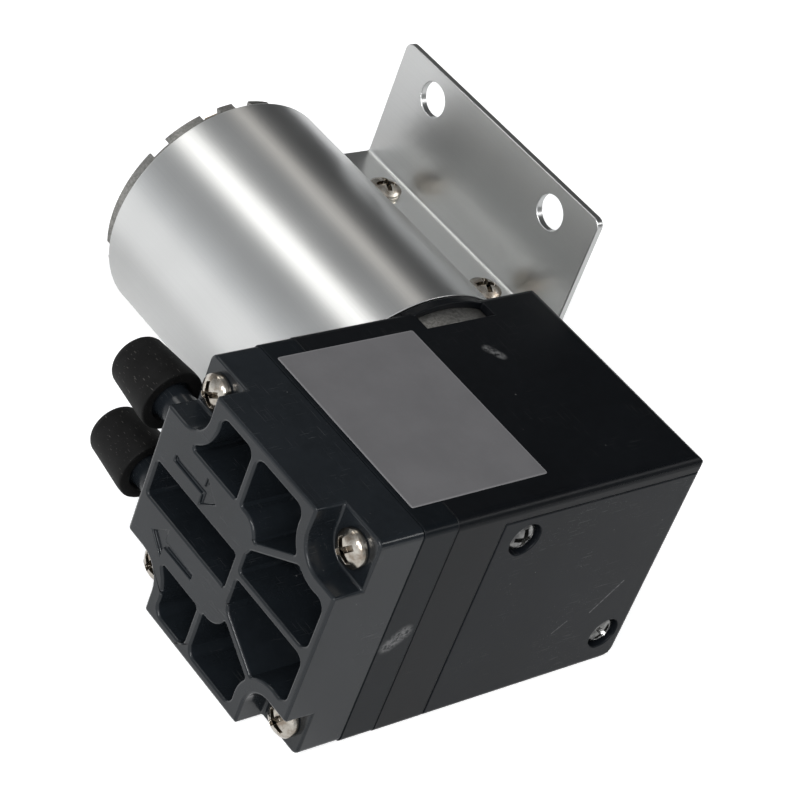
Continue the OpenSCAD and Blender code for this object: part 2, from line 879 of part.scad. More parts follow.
module shaft_spacers() {
  color("#e7e3d8") {
    difference() {
      y_cyl(y_can + 1.2, core_y0 - spacer_gap, spacer_r, 0, shaft_z);
      y_cyl(0, 60, shaft_r, 0, shaft_z);
    }
    difference() {
      y_cyl(core_y1 + wind_over + 0.1, com_y0, spacer_r, 0, shaft_z);
      y_cyl(0, 60, shaft_r, 0, shaft_z);
    }
  }
}

module armature_core() {
  color("#6d6f73") along_y(core_y0, core_y0 + core_l)
    translate([0, shaft_z]) difference() {
      union() {
        circle(core_hub_r);
        for (i = [0:slots - 1])
          rotate([0, 0, i * 360 / slots])
            translate([0, -tooth_w / 2]) square([tip_in + 0.2, tooth_w]);
        difference() {
          circle(core_r);
          circle(tip_in);
        }
      }
      circle(shaft_r);
      for (i = [0:slots - 1])
        rotate([0, 0, (i + 0.5) * 360 / slots])
          translate([tip_in - slot_w, -slot_w / 2]) square([5, slot_w]);
    }
}

module windings() {
  half = (tip_in + 0.6) * sin(180 / slots) / 2.03;
  reach = tip_in - wind_gap - wind_x0;
  color("#a8552c") for (i = [0:slots - 1])
    translate([0, 0, shaft_z]) rotate([0, i * 360 / slots, 0])
      difference() {
        translate([wind_x0, core_y0 - wind_over, -half])
          cube([reach, core_l + 2 * wind_over, 2 * half]);
        translate([wind_x0 - 1, core_y0, -tooth_w / 2])
          cube([reach + 2, core_l, tooth_w]);
      }
}

module commutator() {
  color("#b87a4a") difference() {
    y_cyl(com_y0, com_y0 + com_l, com_r, 0, shaft_z);
    y_cyl(0, 60, shaft_r, 0, shaft_z);
    for (i = [0:slots - 1])
      translate([0, com_y0 - 1, shaft_z])
        rotate([0, (i + 0.5) * 360 / slots, 0])
          translate([com_r - 0.5, 0, -0.2]) cube([2, com_l + 2, 0.4]);
  }
}

module brushes() {
  color("#3a3836") for (s = [-1, 1])
    translate([s * (com_r + brush_gap + brush_l / 2),
               com_y0 + arm_y + brush_w / 2, shaft_z])
      cube([brush_l, brush_w, brush_w], center = true);
}

module brush_arms() {
  x0 = com_r + brush_gap + brush_l;
  color("#c58a45") for (s = [0, 1])
    mirror([s, 0, 0]) {
      translate([x0, com_y0 + arm_y, shaft_z - arm_low])
        cube([arm_t, brush_w, arm_h]);
      translate([x0, com_y0 + arm_y, shaft_z + arm_h - 2 * arm_low])
        cube([arm_t, y_cap0 - com_y0 - arm_y, arm_low]);
    }
}

module motor_end_cap() {
  color("#1e1f21") difference() {
    union() {
      y_cyl(y_cap0, y_cap1, can_in - 0.02, 0, shaft_z);
      y_cyl(y_cap0 - arm_y, y_rim - 0.4, end_boss_r, 0, shaft_z);
      difference() {
        y_cyl(y_cap1 - 0.5, y_cap1 + 0.5, rim_in - 0.02, 0, shaft_z);
        y_cyl(y_cap1, y_rim + 1, end_recess_r, 0, shaft_z);
      }
    }
    y_cyl(y_cap0 - 2, y_rim + 1, end_bush_r, 0, shaft_z);
    for (a = [0, 180])
      translate([0, y_cap1, shaft_z]) rotate([0, -a, 0])
        translate([rim_in - tab_l - tab_t, 0, -tab_w / 2 - 0.15])
          cube([6, 2, tab_w + 0.3]);
  }
}

module rear_bearing() {
  color("#b08d57") difference() {
    y_cyl(y_cap0, y_rim - end_bush_back, end_bush_r, 0, shaft_z);
    y_cyl(0, 60, shaft_r + 0.02, 0, shaft_z);
  }
}

// solder tabs at the rear, each with a foot lying on the end cap
module terminals() {
  color("#c9a45a") for (a = [0, 180])
    translate([0, y_cap1, shaft_z]) rotate([0, -a, 0]) difference() {
      union() {
        translate([rim_in - 0.05 - tab_l, 0, -tab_w / 2])
          cube([tab_l, tab_t, tab_w]);
        translate([rim_in - 0.05 - tab_l, tab_t - eps, -tab_w / 2])
          cube([tab_t, tab_up, tab_w]);
      }
      translate([rim_in - tab_l - 1, tab_up - 1, 0]) rotate([0, 90, 0])
        cylinder(h = 3, r = tab_hole_r);
    }
}

// brass strip from the end cap into a notch of the rim
module earth_tab() {
  color("#c9a45a") translate([0, y_rim - rim_notch_d, shaft_z])
    rotate([0, -109.5, 0]) translate([rim_in - earth_in, 0, -earth_w / 2])
      cube([can_r - earth_end - rim_in + earth_in, earth_t, earth_w]);
}

// sheet profile in the XZ plane: strap, screw flange, lug, upright flange
module holder_2d() {
  lug_top = screw_flange_z - sheet_t - lug_gap;
  x_out = flange_x + sheet_t;
  difference() {
    union() {
      translate([0, shaft_z]) circle(strap_r);
      translate([0, screw_flange_z - sheet_t])
        square([x_out - bend_r + eps, sheet_t]);
      translate([0, lug_top - sheet_t]) square([flange_x, sheet_t]);
    }
    translate([0, shaft_z]) circle(can_r);
    translate([0, lug_top]) square([40, lug_gap]);
  }
  translate([flange_x, screw_flange_z - sheet_t + bend_r - eps])
    square([sheet_t, flange_top - screw_flange_z + sheet_t - bend_r + eps]);
  translate([x_out - bend_r, screw_flange_z - sheet_t + bend_r])
    intersection() {
      difference() {
        circle(bend_r);
        circle(bend_r - sheet_t);
      }
      translate([0, -bend_r]) square(bend_r);
    }
}

// concave fold between the strap and the screw flange
module fold_fillet(y0, y1) {
  dz = screw_flange_z - shaft_z;
  fx = sqrt(pow(strap_r + fold_r, 2) - pow(dz + fold_r, 2));
  rm = strap_r - sheet_t / 2;
  a = atan2(dz + fold_r, fx);
  z_mid = screw_flange_z - sheet_t / 2;
  difference() {
    along_y(y0, y1)
      polygon([[rm * cos(a), shaft_z + rm * sin(a)],
               [fx, screw_flange_z + fold_r], [fx, z_mid],
               [sqrt(rm * rm - pow(z_mid - shaft_z, 2)), z_mid]]);
    y_cyl(y0 - 1, y1 + 1, fold_r - eps, fx, screw_flange_z + fold_r);
  }
}

module holder() {
  color("#b4b6b8") difference() {
    union() {
      along_y(hold_y0, hold_y1) holder_2d();
      fold_fillet(hold_y0, hold_y1);
    }
    for (y = mount_ys)
      x_cyl(flange_x - 1, flange_x + sheet_t + 1, mount_hole_d / 2,
            y, mount_hole_z);
    for (y = clamp_ys)
      z_cyl(screw_flange_z - 5, screw_flange_z + 1,
            clamp_screw_r + 0.1, clamp_x, y);
    along_x(flange_x - 0.5, flange_x + 3) difference() {
      translate([hold_y0 - 1, flange_top - 1.5])
        square([holder_w + 2, 3]);
      translate([hold_y0, flange_top - 10])
        rounded(holder_w, 10, flange_corner);
    }
  }
}

module holder_screws() {
  color("#a9a08e") for (y = clamp_ys)
    translate([clamp_x, y, screw_flange_z])
      pan_screw(clamp_head_r, clamp_head_h, clamp_screw_r, clamp_screw_l);
}

module holder_nuts() {
  z1 = screw_flange_z - 2 * sheet_t - lug_gap;
  color("#a2a4a7") for (y = clamp_ys)
    translate([clamp_x, y, z1 - nut_h]) difference() {
      rotate([0, 0, 30]) cylinder(h = nut_h, r = nut_r, $fn = 6);
      translate([0, 0, -1]) cylinder(h = 5, r = clamp_screw_r + fit);
    }
}

// rubber protection cap, open towards the block
module cap(z) {
  y0 = y_motor + cap_gap;
  r0 = cap_d_open / 2;
  r1 = cap_d_tip / 2;
  color("#17181a") translate([passage_x, 0, z]) about_y() difference() {
    polygon([
      [0, y0], [r0 - 0.2, y0], [r0, y0 + 0.2], [r0, y0 + 0.9],
      [r1, y0 + cap_l - 1.1], [r1 - 0.3, y0 + cap_l - 0.45],
      [r1 - 0.9, y0 + cap_l], [0, y0 + cap_l]
    ]);
    translate([-1, y0 - 1])
      square([1 + barb_d / 2 + 0.05, cap_l - 1.2 + 1]);
  }
}

module inlet_cap() {
  cap(inlet_z);
}

module outlet_cap() {
  cap(outlet_z);
}

head_cover();
head_gasket();
valve_plate();
inlet_flap();
outlet_flap();
diaphragm();
clamp_disc();
diaphragm_screw();
crankcase();
side_cover();
side_cover_screws();
head_screws();
label();
connecting_rod();
bearing_outer();
bearing_balls();
bearing_inner();
eccentric();
grub_screw();
pin_clip();
motor_screws();
motor_can();
front_bearing();
magnets();
magnet_clips();
motor_shaft();
shaft_spacers();
armature_core();
windings();
commutator();
brushes();
brush_arms();
motor_end_cap();
rear_bearing();
terminals();
earth_tab();
holder();
holder_screws();
holder_nuts();
inlet_cap();
outlet_cap();
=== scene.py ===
"""Mini diaphragm vacuum pump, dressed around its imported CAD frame.

The frame is X from the ribbed head face to the drilled flange, Y along the
motor shaft, Z up through the label face, in metres.
"""

import json
import logging
import math
from dataclasses import dataclass
from enum import Enum

import bmesh
import bpy
import numpy as np
from mathutils import Matrix, Vector
from mathutils.bvhtree import BVHTree


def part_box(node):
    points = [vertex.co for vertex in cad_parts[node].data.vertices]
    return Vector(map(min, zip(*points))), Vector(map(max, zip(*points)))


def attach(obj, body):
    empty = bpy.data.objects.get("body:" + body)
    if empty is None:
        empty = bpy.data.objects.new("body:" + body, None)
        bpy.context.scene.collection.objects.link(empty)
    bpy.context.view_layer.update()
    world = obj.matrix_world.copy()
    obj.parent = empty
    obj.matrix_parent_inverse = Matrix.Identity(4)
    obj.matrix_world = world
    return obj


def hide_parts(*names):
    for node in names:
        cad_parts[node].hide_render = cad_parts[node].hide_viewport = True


LOG = logging.getLogger("pump")
MM = 0.001
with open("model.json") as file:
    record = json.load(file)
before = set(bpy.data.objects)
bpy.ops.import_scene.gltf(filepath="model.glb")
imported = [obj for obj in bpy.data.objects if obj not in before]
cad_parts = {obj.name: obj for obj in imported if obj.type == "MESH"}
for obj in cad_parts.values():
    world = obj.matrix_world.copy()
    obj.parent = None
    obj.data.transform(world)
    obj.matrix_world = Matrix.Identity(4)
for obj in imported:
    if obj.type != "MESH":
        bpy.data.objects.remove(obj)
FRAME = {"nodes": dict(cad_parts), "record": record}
COVER_FACE_X = -33.0


def linear(red: float, green: float, blue: float) -> tuple[float, float, float]:
    """Turn a display colour into the linear colour that shaders use.

    Args:
        red: display red from 0 to 255.
        green: display green from 0 to 255.
        blue: display blue from 0 to 255.

    Returns:
        The linear colour, each part from 0 to 1.
    """

    def part(value: float) -> float:
        """Undo the display curve for one part."""
        v = value / 255
        return v / 12.92 if v <= 0.04045 else ((v + 0.055) / 1.055) ** 2.4

    return part(red), part(green), part(blue)


def shade(colour: tuple[float, float, float], by: float) -> tuple[float, float, float, float]:
    """Scale a colour and add its alpha."""
    return (*(min(1.0, c * by) for c in colour), 1.0)


class Axis(Enum):
    """The row axes that a turned piece can stand on."""

    Y = "y"
    Z = "z"


class Value:
    """A number socket that can stand in a Python expression."""

    def __init__(self, graph: "Graph", socket: bpy.types.NodeSocket) -> None:
        """Keep the socket and the graph that it belongs to."""
        self.graph = graph
        self.socket = socket

    def apply(self, operation: str, *terms: "Value | float") -> "Value":
        """Add one Math node.

        Args:
            operation: the Math node's operation.
            terms: its inputs in order, sockets or numbers.

        Returns:
            The node's result.
        """
        inputs = dict(enumerate(terms))
        made = self.graph.node("ShaderNodeMath", {"operation": operation}, inputs)
        return Value(self.graph, made.outputs[0])

    def __add__(self, other: "Value | float") -> "Value":
        """Add."""
        return self.apply("ADD", self, other)

    __radd__ = __add__

    def __sub__(self, other: "Value | float") -> "Value":
        """Take other away."""
        return self.apply("SUBTRACT", self, other)

    def __rsub__(self, other: float) -> "Value":
        """Take this away from a number."""
        return self.apply("SUBTRACT", other, self)

    def __mul__(self, other: "Value | float") -> "Value":
        """Multiply."""
        return self.apply("MULTIPLY", self, other)

    __rmul__ = __mul__

    def __truediv__(self, other: "Value | float") -> "Value":
        """Divide."""
        return self.apply("DIVIDE", self, other)

    def most(self, other: "Value | float") -> "Value":
        """Give the larger of the two."""
        return self.apply("MAXIMUM", self, other)

    def least(self, other: "Value | float") -> "Value":
        """Give the smaller of the two."""
        return self.apply("MINIMUM", self, other)

    def step(self, low: float, high: float, to: tuple[float, float] = (0.0, 1.0)) -> "Value":
        """Rise smoothly between two values.

        Args:
            low: where the rise starts.
            high: where the rise ends, below low for a fall.
            to: the results at low and at high.

        Returns:
            The eased value, held outside the span.
        """
        made = self.graph.node(
            "ShaderNodeMapRange",
            {"interpolation_type": "SMOOTHSTEP"},
            {0: self, 1: low, 2: high, 3: to[0], 4: to[1]},
        )
        return Value(self.graph, made.outputs[0])


class Graph:
    """The node tree of a material or world, with helpers that add its nodes."""

    def __init__(self, name: str, world: bool = False) -> None:
        """Start an empty tree.

        Args:
            name: the material's or world's name.
            world: whether it is a world, whose points are directions.
        """
        kind = bpy.data.worlds if world else bpy.data.materials
        self.owner = kind.new(name)
        self.owner.use_nodes = True
        self.tree = self.owner.node_tree
        self.tree.nodes.clear()
        self.point = self.node("ShaderNodeTexCoord").outputs["Generated" if world else "Object"]

    def node(
        self,
        kind: str,
        settings: dict[str, object] | None = None,
        inputs: dict[int | str, object] | None = None,
    ) -> bpy.types.Node:
        """Add any node.

        Args:
            kind: the node's type.
            settings: attributes, set before the inputs.
            inputs: values, sockets or Values by input name or index.

        Returns:
            The new node.
        """
        made = self.tree.nodes.new(kind)
        for key, value in (settings or {}).items():
            setattr(made, key, value)
        for key, value in (inputs or {}).items():
            self.feed(made.inputs[key], value)
        return made

    def feed(self, socket: bpy.types.NodeSocket, value: object) -> None:
        """Link a value or socket to an input, or set a constant on it.

        Args:
            socket: the input to feed.
            value: a Value or socket to link, or a constant.
        """
        if isinstance(value, Value):
            self.tree.links.new(value.socket, socket)
        elif isinstance(value, bpy.types.NodeSocket):
            self.tree.links.new(value, socket)
        else:
            socket.default_value = value

    def placed(
        self, scale: tuple[float, float, float], turn: tuple = (0, 0, 0)
    ) -> bpy.types.NodeSocket:
        """Stretch and turn the object's coordinates.

        Args:
            scale: the factor along each axis.
            turn: the rotation in radians.

        Returns:
            The changed coordinates.
        """
        return self.node(
            "ShaderNodeMapping",
            {"vector_type": "POINT"},
            {"Vector": self.point, "Scale": scale, "Rotation": turn},
        ).outputs[0]

    def noise(
        self,
        size_mm: float,
        detail: float = 3.0,
        rough: float = 0.55,
        stretch: tuple[float, float, float] = (1, 1, 1),
        turn: tuple = (0, 0, 0),
    ) -> Value:
        """Give noise whose blotches are about size_mm wide.

        Args:
            size_mm: the width of a blotch in millimetres.
            detail: how many finer layers are added.
            rough: how strong the finer layers are.
            stretch: the factor on each coordinate, small for long streaks.
            turn: the rotation of the pattern in radians.

        Returns:
            The noise, from 0 to 1 with its middle near 0.5.
        """
        scale = 1.0 / (size_mm * MM)
        where = self.placed(tuple(scale * s for s in stretch), turn)
        made = self.node(
            "ShaderNodeTexNoise",
            {"noise_dimensions": "3D"},
            {"Vector": where, "Scale": 1.0, "Detail": detail, "Roughness": rough},
        )
        return Value(self, made.outputs[0])

    def dots(self, spacing_mm: float, radius_mm: float, share: float) -> Value:
        """Give scattered round specks.

        Args:
            spacing_mm: the distance between possible specks.
            radius_mm: the radius of a speck.
            share: the part of the places that has one, from 0 to 1.

        Returns:
            1 inside a speck and 0 between them.
        """
        made = self.node(
            "ShaderNodeTexVoronoi",
            {"feature": "F1"},
            {"Vector": self.point, "Scale": 1.0 / (spacing_mm * MM), "Randomness": 1.0},
        )
        parts = self.node("ShaderNodeSeparateColor", None, {0: made.outputs["Color"]})
        reach = radius_mm / spacing_mm
        near = Value(self, made.outputs["Distance"]).step(reach, reach * 0.5)
        lucky = Value(self, parts.outputs[0]).step(1 - share, 1 - share + 0.04)
        size = Value(self, parts.outputs[1])
        return near * lucky * size

    def axis(self, which: int) -> Value:
        """Give one object coordinate in millimetres: 0, 1 or 2."""
        made = self.node("ShaderNodeSeparateXYZ", None, {0: self.point})
        return Value(self, made.outputs[which]) * 1000.0

    def vector(self, operation: str, *terms: object, out: int | str = 0) -> bpy.types.NodeSocket:
        """Add one Vector Math node.

        Args:
            operation: the node's operation.
            terms: its inputs in order.
            out: the output to give.

        Returns:
            The chosen output.
        """
        made = self.node("ShaderNodeVectorMath", {"operation": operation}, dict(enumerate(terms)))
        return made.outputs[out]

    def along(self, direction: tuple[float, float, float]) -> Value:
        """Give how far the point lies in a direction, in the point's own unit."""
        return Value(self, self.vector("DOT_PRODUCT", self.point, direction, out="Value"))

    def near(self, start_mm: tuple, end_mm: tuple, width_mm: float) -> Value:
        """Give a soft stroke between two points.

        Args:
            start_mm: the first end in the row frame.
            end_mm: the other end.
            width_mm: the distance at which the stroke has faded.

        Returns:
            1 on the line, falling to 0 beside it.
        """
        start, end = (Vector(p) * MM for p in (start_mm, end_mm))
        side = end - start
        away = self.vector("SUBTRACT", self.point, tuple(start))
        part = Value(self, self.vector("DOT_PRODUCT", away, tuple(side), out="Value"))
        part = (part / side.length_squared).most(0.0).least(1.0)
        foot = self.vector("SCALE", tuple(side))
        self.tree.links.new(part.socket, foot.node.inputs["Scale"])
        gap = self.vector("DISTANCE", away, foot, out="Value")
        return Value(self, gap).step(width_mm * MM, width_mm * MM * 0.2)

    def mix(self, mask: Value | float, low: object, high: object) -> bpy.types.NodeSocket:
        """Mix two colours by a mask, low where it is 0 and high where it is 1."""
        made = self.node("ShaderNodeMix", {"data_type": "RGBA"}, {0: mask, 6: low, 7: high})
        return made.outputs[2]

    def bump(self, height: Value, depth_mm: float) -> bpy.types.NodeSocket:
        """Turn a height into a normal.

        Args:
            height: the relief, where 1 stands depth_mm above 0.
            depth_mm: the relief's depth.

        Returns:
            The normal socket.
        """
        inputs = {"Height": height, "Distance": depth_mm * MM, "Strength": 1.0}
        return self.node("ShaderNodeBump", None, inputs).outputs[0]

    def finish(self, **inputs: object) -> bpy.types.Material:
        """End the graph in one surface shader.

        Args:
            inputs: the shader's inputs, with _ for a space in a name.

        Returns:
            The finished material.
        """
        named = {key.replace("_", " "): value for key, value in inputs.items()}
        shader = self.node("ShaderNodeBsdfPrincipled", None, named)
        self.node("ShaderNodeOutputMaterial", None, {0: shader.outputs[0]})
        return self.owner


@dataclass(frozen=True)
class Mark:
    """A faint scuff or smear along a short line on a plastic face."""

    start: tuple[float, float, float]
    end: tuple[float, float, float]
    width: float
    strength: float
    grain_mm: float = 0.5


@dataclass(frozen=True)
class MouldedPlastic:
    """Moulded plastic with fine grain, dust and hairline scratches."""

    name: str
    colour: tuple[float, float, float]
    roughness: float = 0.4
    sheen: float = 0.5
    grain_mm: float = 0.22
    grain_depth_mm: float = 0.004
    dust: float = 0.5
    scratches: float = 0.5
    marks: tuple[Mark, ...] = ()

    def build(self) -> bpy.types.Material:
        """Make the material.

        Returns:
            The material with grain, dust, scratches and its own marks.
        """
        g = Graph(self.name)
        broad = g.noise(9.0, 4.0)
        grain = g.noise(self.grain_mm, 2.0, 0.6)
        mottled = g.noise(1.1, 3.0, 0.65)
        dust = (g.dots(1.4, 0.07, 0.35) + g.dots(3.9, 0.12, 0.4)).least(1.0) * self.dust
        line_a = g.noise(0.16, 1.0, 0.4, (1.0, 0.05, 1.0), (0.3, 0.2, 0.9))
        line_b = g.noise(0.14, 1.0, 0.4, (0.06, 1.0, 1.0), (0.7, 0.5, 0.2))
        patch = g.noise(6.0, 2.0).step(0.45, 0.68)
        lines = line_a.step(0.67, 0.73).most(line_b.step(0.68, 0.74)) * patch * self.scratches
        worn = lines * 0.3
        for mark in self.marks:
            rubbed = g.noise(mark.grain_mm, 3.0, 0.7).step(0.3, 0.62)
            worn = worn.most(g.near(mark.start, mark.end, mark.width) * rubbed * mark.strength)
        base = g.mix(broad.step(0.3, 0.7), shade(self.colour, 0.85), shade(self.colour, 1.15))
        base = g.mix(mottled.step(0.35, 0.75) * 0.35, base, shade(self.colour, 1.4))
        base = g.mix(dust * 0.8, base, (0.3, 0.3, 0.29, 1))
        base = g.mix(worn * 0.7, base, (0.26, 0.26, 0.26, 1))
        rough = mottled * 0.1 + (self.roughness - 0.05) + dust * 0.2 + worn * 0.12
        relief = grain * 0.7 + mottled * 0.3 - lines * 0.6
        return g.finish(
            Base_Color=base,
            Roughness=rough,
            Specular_IOR_Level=self.sheen,
            Normal=g.bump(relief, self.grain_depth_mm),
        )


@dataclass(frozen=True)
class RolledMetal:
    """Bare sheet or drawn metal with long rolling lines and a few specks."""

    name: str
    colour: tuple[float, float, float]
    roughness: float = 0.28
    lines: tuple[float, float, float] = (1.0, 0.012, 1.0)
    line_mm: float = 0.16
    line_depth_mm: float = 0.0004
    specks: float = 0.25
    cloud: float = 0.04

    def build(self) -> bpy.types.Material:
        """Make the material.

        Returns:
            The metal with its lines, faint clouds and specks.
        """
        g = Graph(self.name)
        broad = g.noise(14.0, 2.0, 0.5)
        drawn = g.noise(self.line_mm, 2.0, 0.5, self.lines)
        fine = g.noise(0.07, 2.0, 0.6)
        pits = (g.dots(1.7, 0.05, 0.3) + g.dots(5.3, 0.1, 0.3)).least(1.0) * self.specks
        base = g.mix(broad.step(0.3, 0.72), shade(self.colour, 0.96), shade(self.colour, 1.03))
        base = g.mix(drawn.step(0.3, 0.75) * 0.3, base, shade(self.colour, 0.92))
        base = g.mix(pits * 0.5, base, shade(self.colour, 0.4))
        middle = self.roughness - self.cloud / 2 - 0.025
        rough = broad * self.cloud + drawn * 0.05 + middle + pits * 0.2
        relief = drawn * 0.6 + fine * 0.4 - pits * 0.5
        return g.finish(
            Base_Color=base,
            Metallic=1.0,
            Roughness=rough,
            Normal=g.bump(relief, self.line_depth_mm),
        )


@dataclass(frozen=True)
class ZincedSteel:
    """Zinc-plated steel with a grey crystalline bloom."""

    name: str
    colour: tuple[float, float, float]
    roughness: float = 0.42
    grain_mm: float = 0.35

    def build(self) -> bpy.types.Material:
        """Make the material.

        Returns:
            The plated steel with light and dark grains.
        """
        g = Graph(self.name)
        grain = g.noise(self.grain_mm, 4.0, 0.7)
        cloud = g.noise(3.2, 3.0, 0.6)
        fine = g.noise(0.1, 2.0, 0.6)
        base = g.mix(grain.step(0.34, 0.66), shade(self.colour, 0.62), shade(self.colour, 1.25))
        base = g.mix(cloud.step(0.35, 0.7) * 0.5, base, shade(self.colour, 0.85))
        rough = grain * 0.22 + (self.roughness - 0.11) + fine * 0.06
        return g.finish(
            Base_Color=base,
            Metallic=0.9,
            Roughness=rough,
            Normal=g.bump(grain * 0.6 + fine * 0.4, 0.012),
        )


@dataclass(frozen=True)
class PlatedMetal:
    """Turned or plated hardware metal with a slight tint and handling marks."""

    name: str
    colour: tuple[float, float, float]
    tint: tuple[float, float, float]
    roughness: float = 0.24
    wear: float = 0.5

    def build(self) -> bpy.types.Material:
        """Make the material.

        Returns:
            The plated metal with tinted patches and small dents.
        """
        g = Graph(self.name)
        patch = g.noise(0.9, 4.0, 0.6)
        fine = g.noise(0.12, 3.0, 0.6)
        base = g.mix(patch.step(0.36, 0.66), shade(self.colour, 1.0), shade(self.tint, 1.0))
        base = g.mix(fine.step(0.55, 0.8) * self.wear, base, shade(self.colour, 0.45))
        rough = fine * 0.18 + patch * 0.1 + (self.roughness - 0.14)
        return g.finish(
            Base_Color=base,
            Metallic=1.0,
            Roughness=rough,
            Normal=g.bump(fine * 0.6 + patch * 0.4, 0.004),
        )


@dataclass(frozen=True)
class Rubber:
    """Matte moulded rubber with bloom and caught dust."""

    name: str
    colour: tuple[float, float, float]
    roughness: float = 0.62
    dust: float = 0.9

    def build(self) -> bpy.types.Material:
        """Make the material.

        Returns:
            The rubber with its bloom, specks and fine texture.
        """
        g = Graph(self.name)
        bloom = g.noise(2.6, 4.0, 0.6)
        skin = g.noise(0.18, 3.0, 0.6)
        dust = (g.dots(0.55, 0.05, 0.5) + g.dots(1.3, 0.1, 0.45)).least(1.0) * self.dust
        lint = g.noise(0.1, 1.0, 0.4, (1.0, 0.12, 0.6), (0.6, 0.2, 1.1)).step(0.7, 0.76) * self.dust
        base = g.mix(bloom.step(0.35, 0.7), shade(self.colour, 0.8), shade(self.colour, 1.5))
        base = g.mix(dust.most(lint * 0.7) * 0.5, base, (0.2, 0.19, 0.175, 1))
        rough = bloom * 0.14 + (self.roughness - 0.07) + dust * 0.15
        return g.finish(
            Base_Color=base,
            Roughness=rough,
            Specular_IOR_Level=0.15,
            Normal=g.bump(skin * 0.8 + bloom * 0.2, 0.012),
        )


@dataclass(frozen=True)
class BlankFoil:
    """A blank metallised label: grey face and a paler cut edge."""

    name: str
    colour: tuple[float, float, float]
    low: tuple[float, float]
    high: tuple[float, float]
    edge_mm: float = 0.22

    def build(self) -> bpy.types.Material:
        """Make the material.

        Returns:
            The foil with its pale border and faint handling marks.
        """
        g = Graph(self.name)
        x, y = g.axis(0), g.axis(1)
        inset_x = (x - self.low[0]).least(self.high[0] - x)
        inset_y = (y - self.low[1]).least(self.high[1] - y)
        border = inset_x.least(inset_y).step(self.edge_mm, self.edge_mm * 0.35)
        cloud = g.noise(5.0, 4.0, 0.6)
        fine = g.noise(0.2, 3.0, 0.6)
        creases = g.noise(0.3, 1.0, 0.4, (0.05, 1.0, 1.0), (0, 0, 0.5)).step(0.68, 0.74)
        base = g.mix(cloud.step(0.3, 0.7), shade(self.colour, 0.95), shade(self.colour, 1.06))
        base = g.mix(fine * 0.25, base, shade(self.colour, 0.88))
        base = g.mix(border, base, shade(self.colour, 1.35))
        rough = cloud * 0.1 + fine * 0.08 + 0.42
        return g.finish(
            Base_Color=base,
            Metallic=0.25,
            Roughness=rough,
            Normal=g.bump(fine * 0.5 + cloud * 0.5 + creases * 0.4, 0.004),
        )


@dataclass(frozen=True)
class Sintered:
    """Pressed powder or laminated metal: porous, dull, with dark grains."""

    name: str
    colour: tuple[float, float, float]
    metallic: float = 0.8
    roughness: float = 0.5
    layer_mm: float = 0.0

    def build(self) -> bpy.types.Material:
        """Make the material.

        Returns:
            The porous metal, with laminations along Y where layer_mm is set.
        """
        g = Graph(self.name)
        pores = g.noise(0.15, 3.0, 0.7)
        cloud = g.noise(1.8, 3.0, 0.6)
        base = g.mix(cloud.step(0.3, 0.7), shade(self.colour, 0.8), shade(self.colour, 1.15))
        base = g.mix(pores.step(0.58, 0.72) * 0.6, base, shade(self.colour, 0.35))
        relief = 1 - pores
        if self.layer_mm:
            turned = g.axis(1) * (2 * math.pi / self.layer_mm)
            layers = turned.apply("SINE", turned).step(0.4, 0.95)
            base = g.mix(layers * 0.6, base, shade(self.colour, 0.4))
            relief = relief - layers
        return g.finish(
            Base_Color=base,
            Metallic=self.metallic,
            Roughness=pores * 0.2 + (self.roughness - 0.1),
            Normal=g.bump(relief, 0.012),
        )


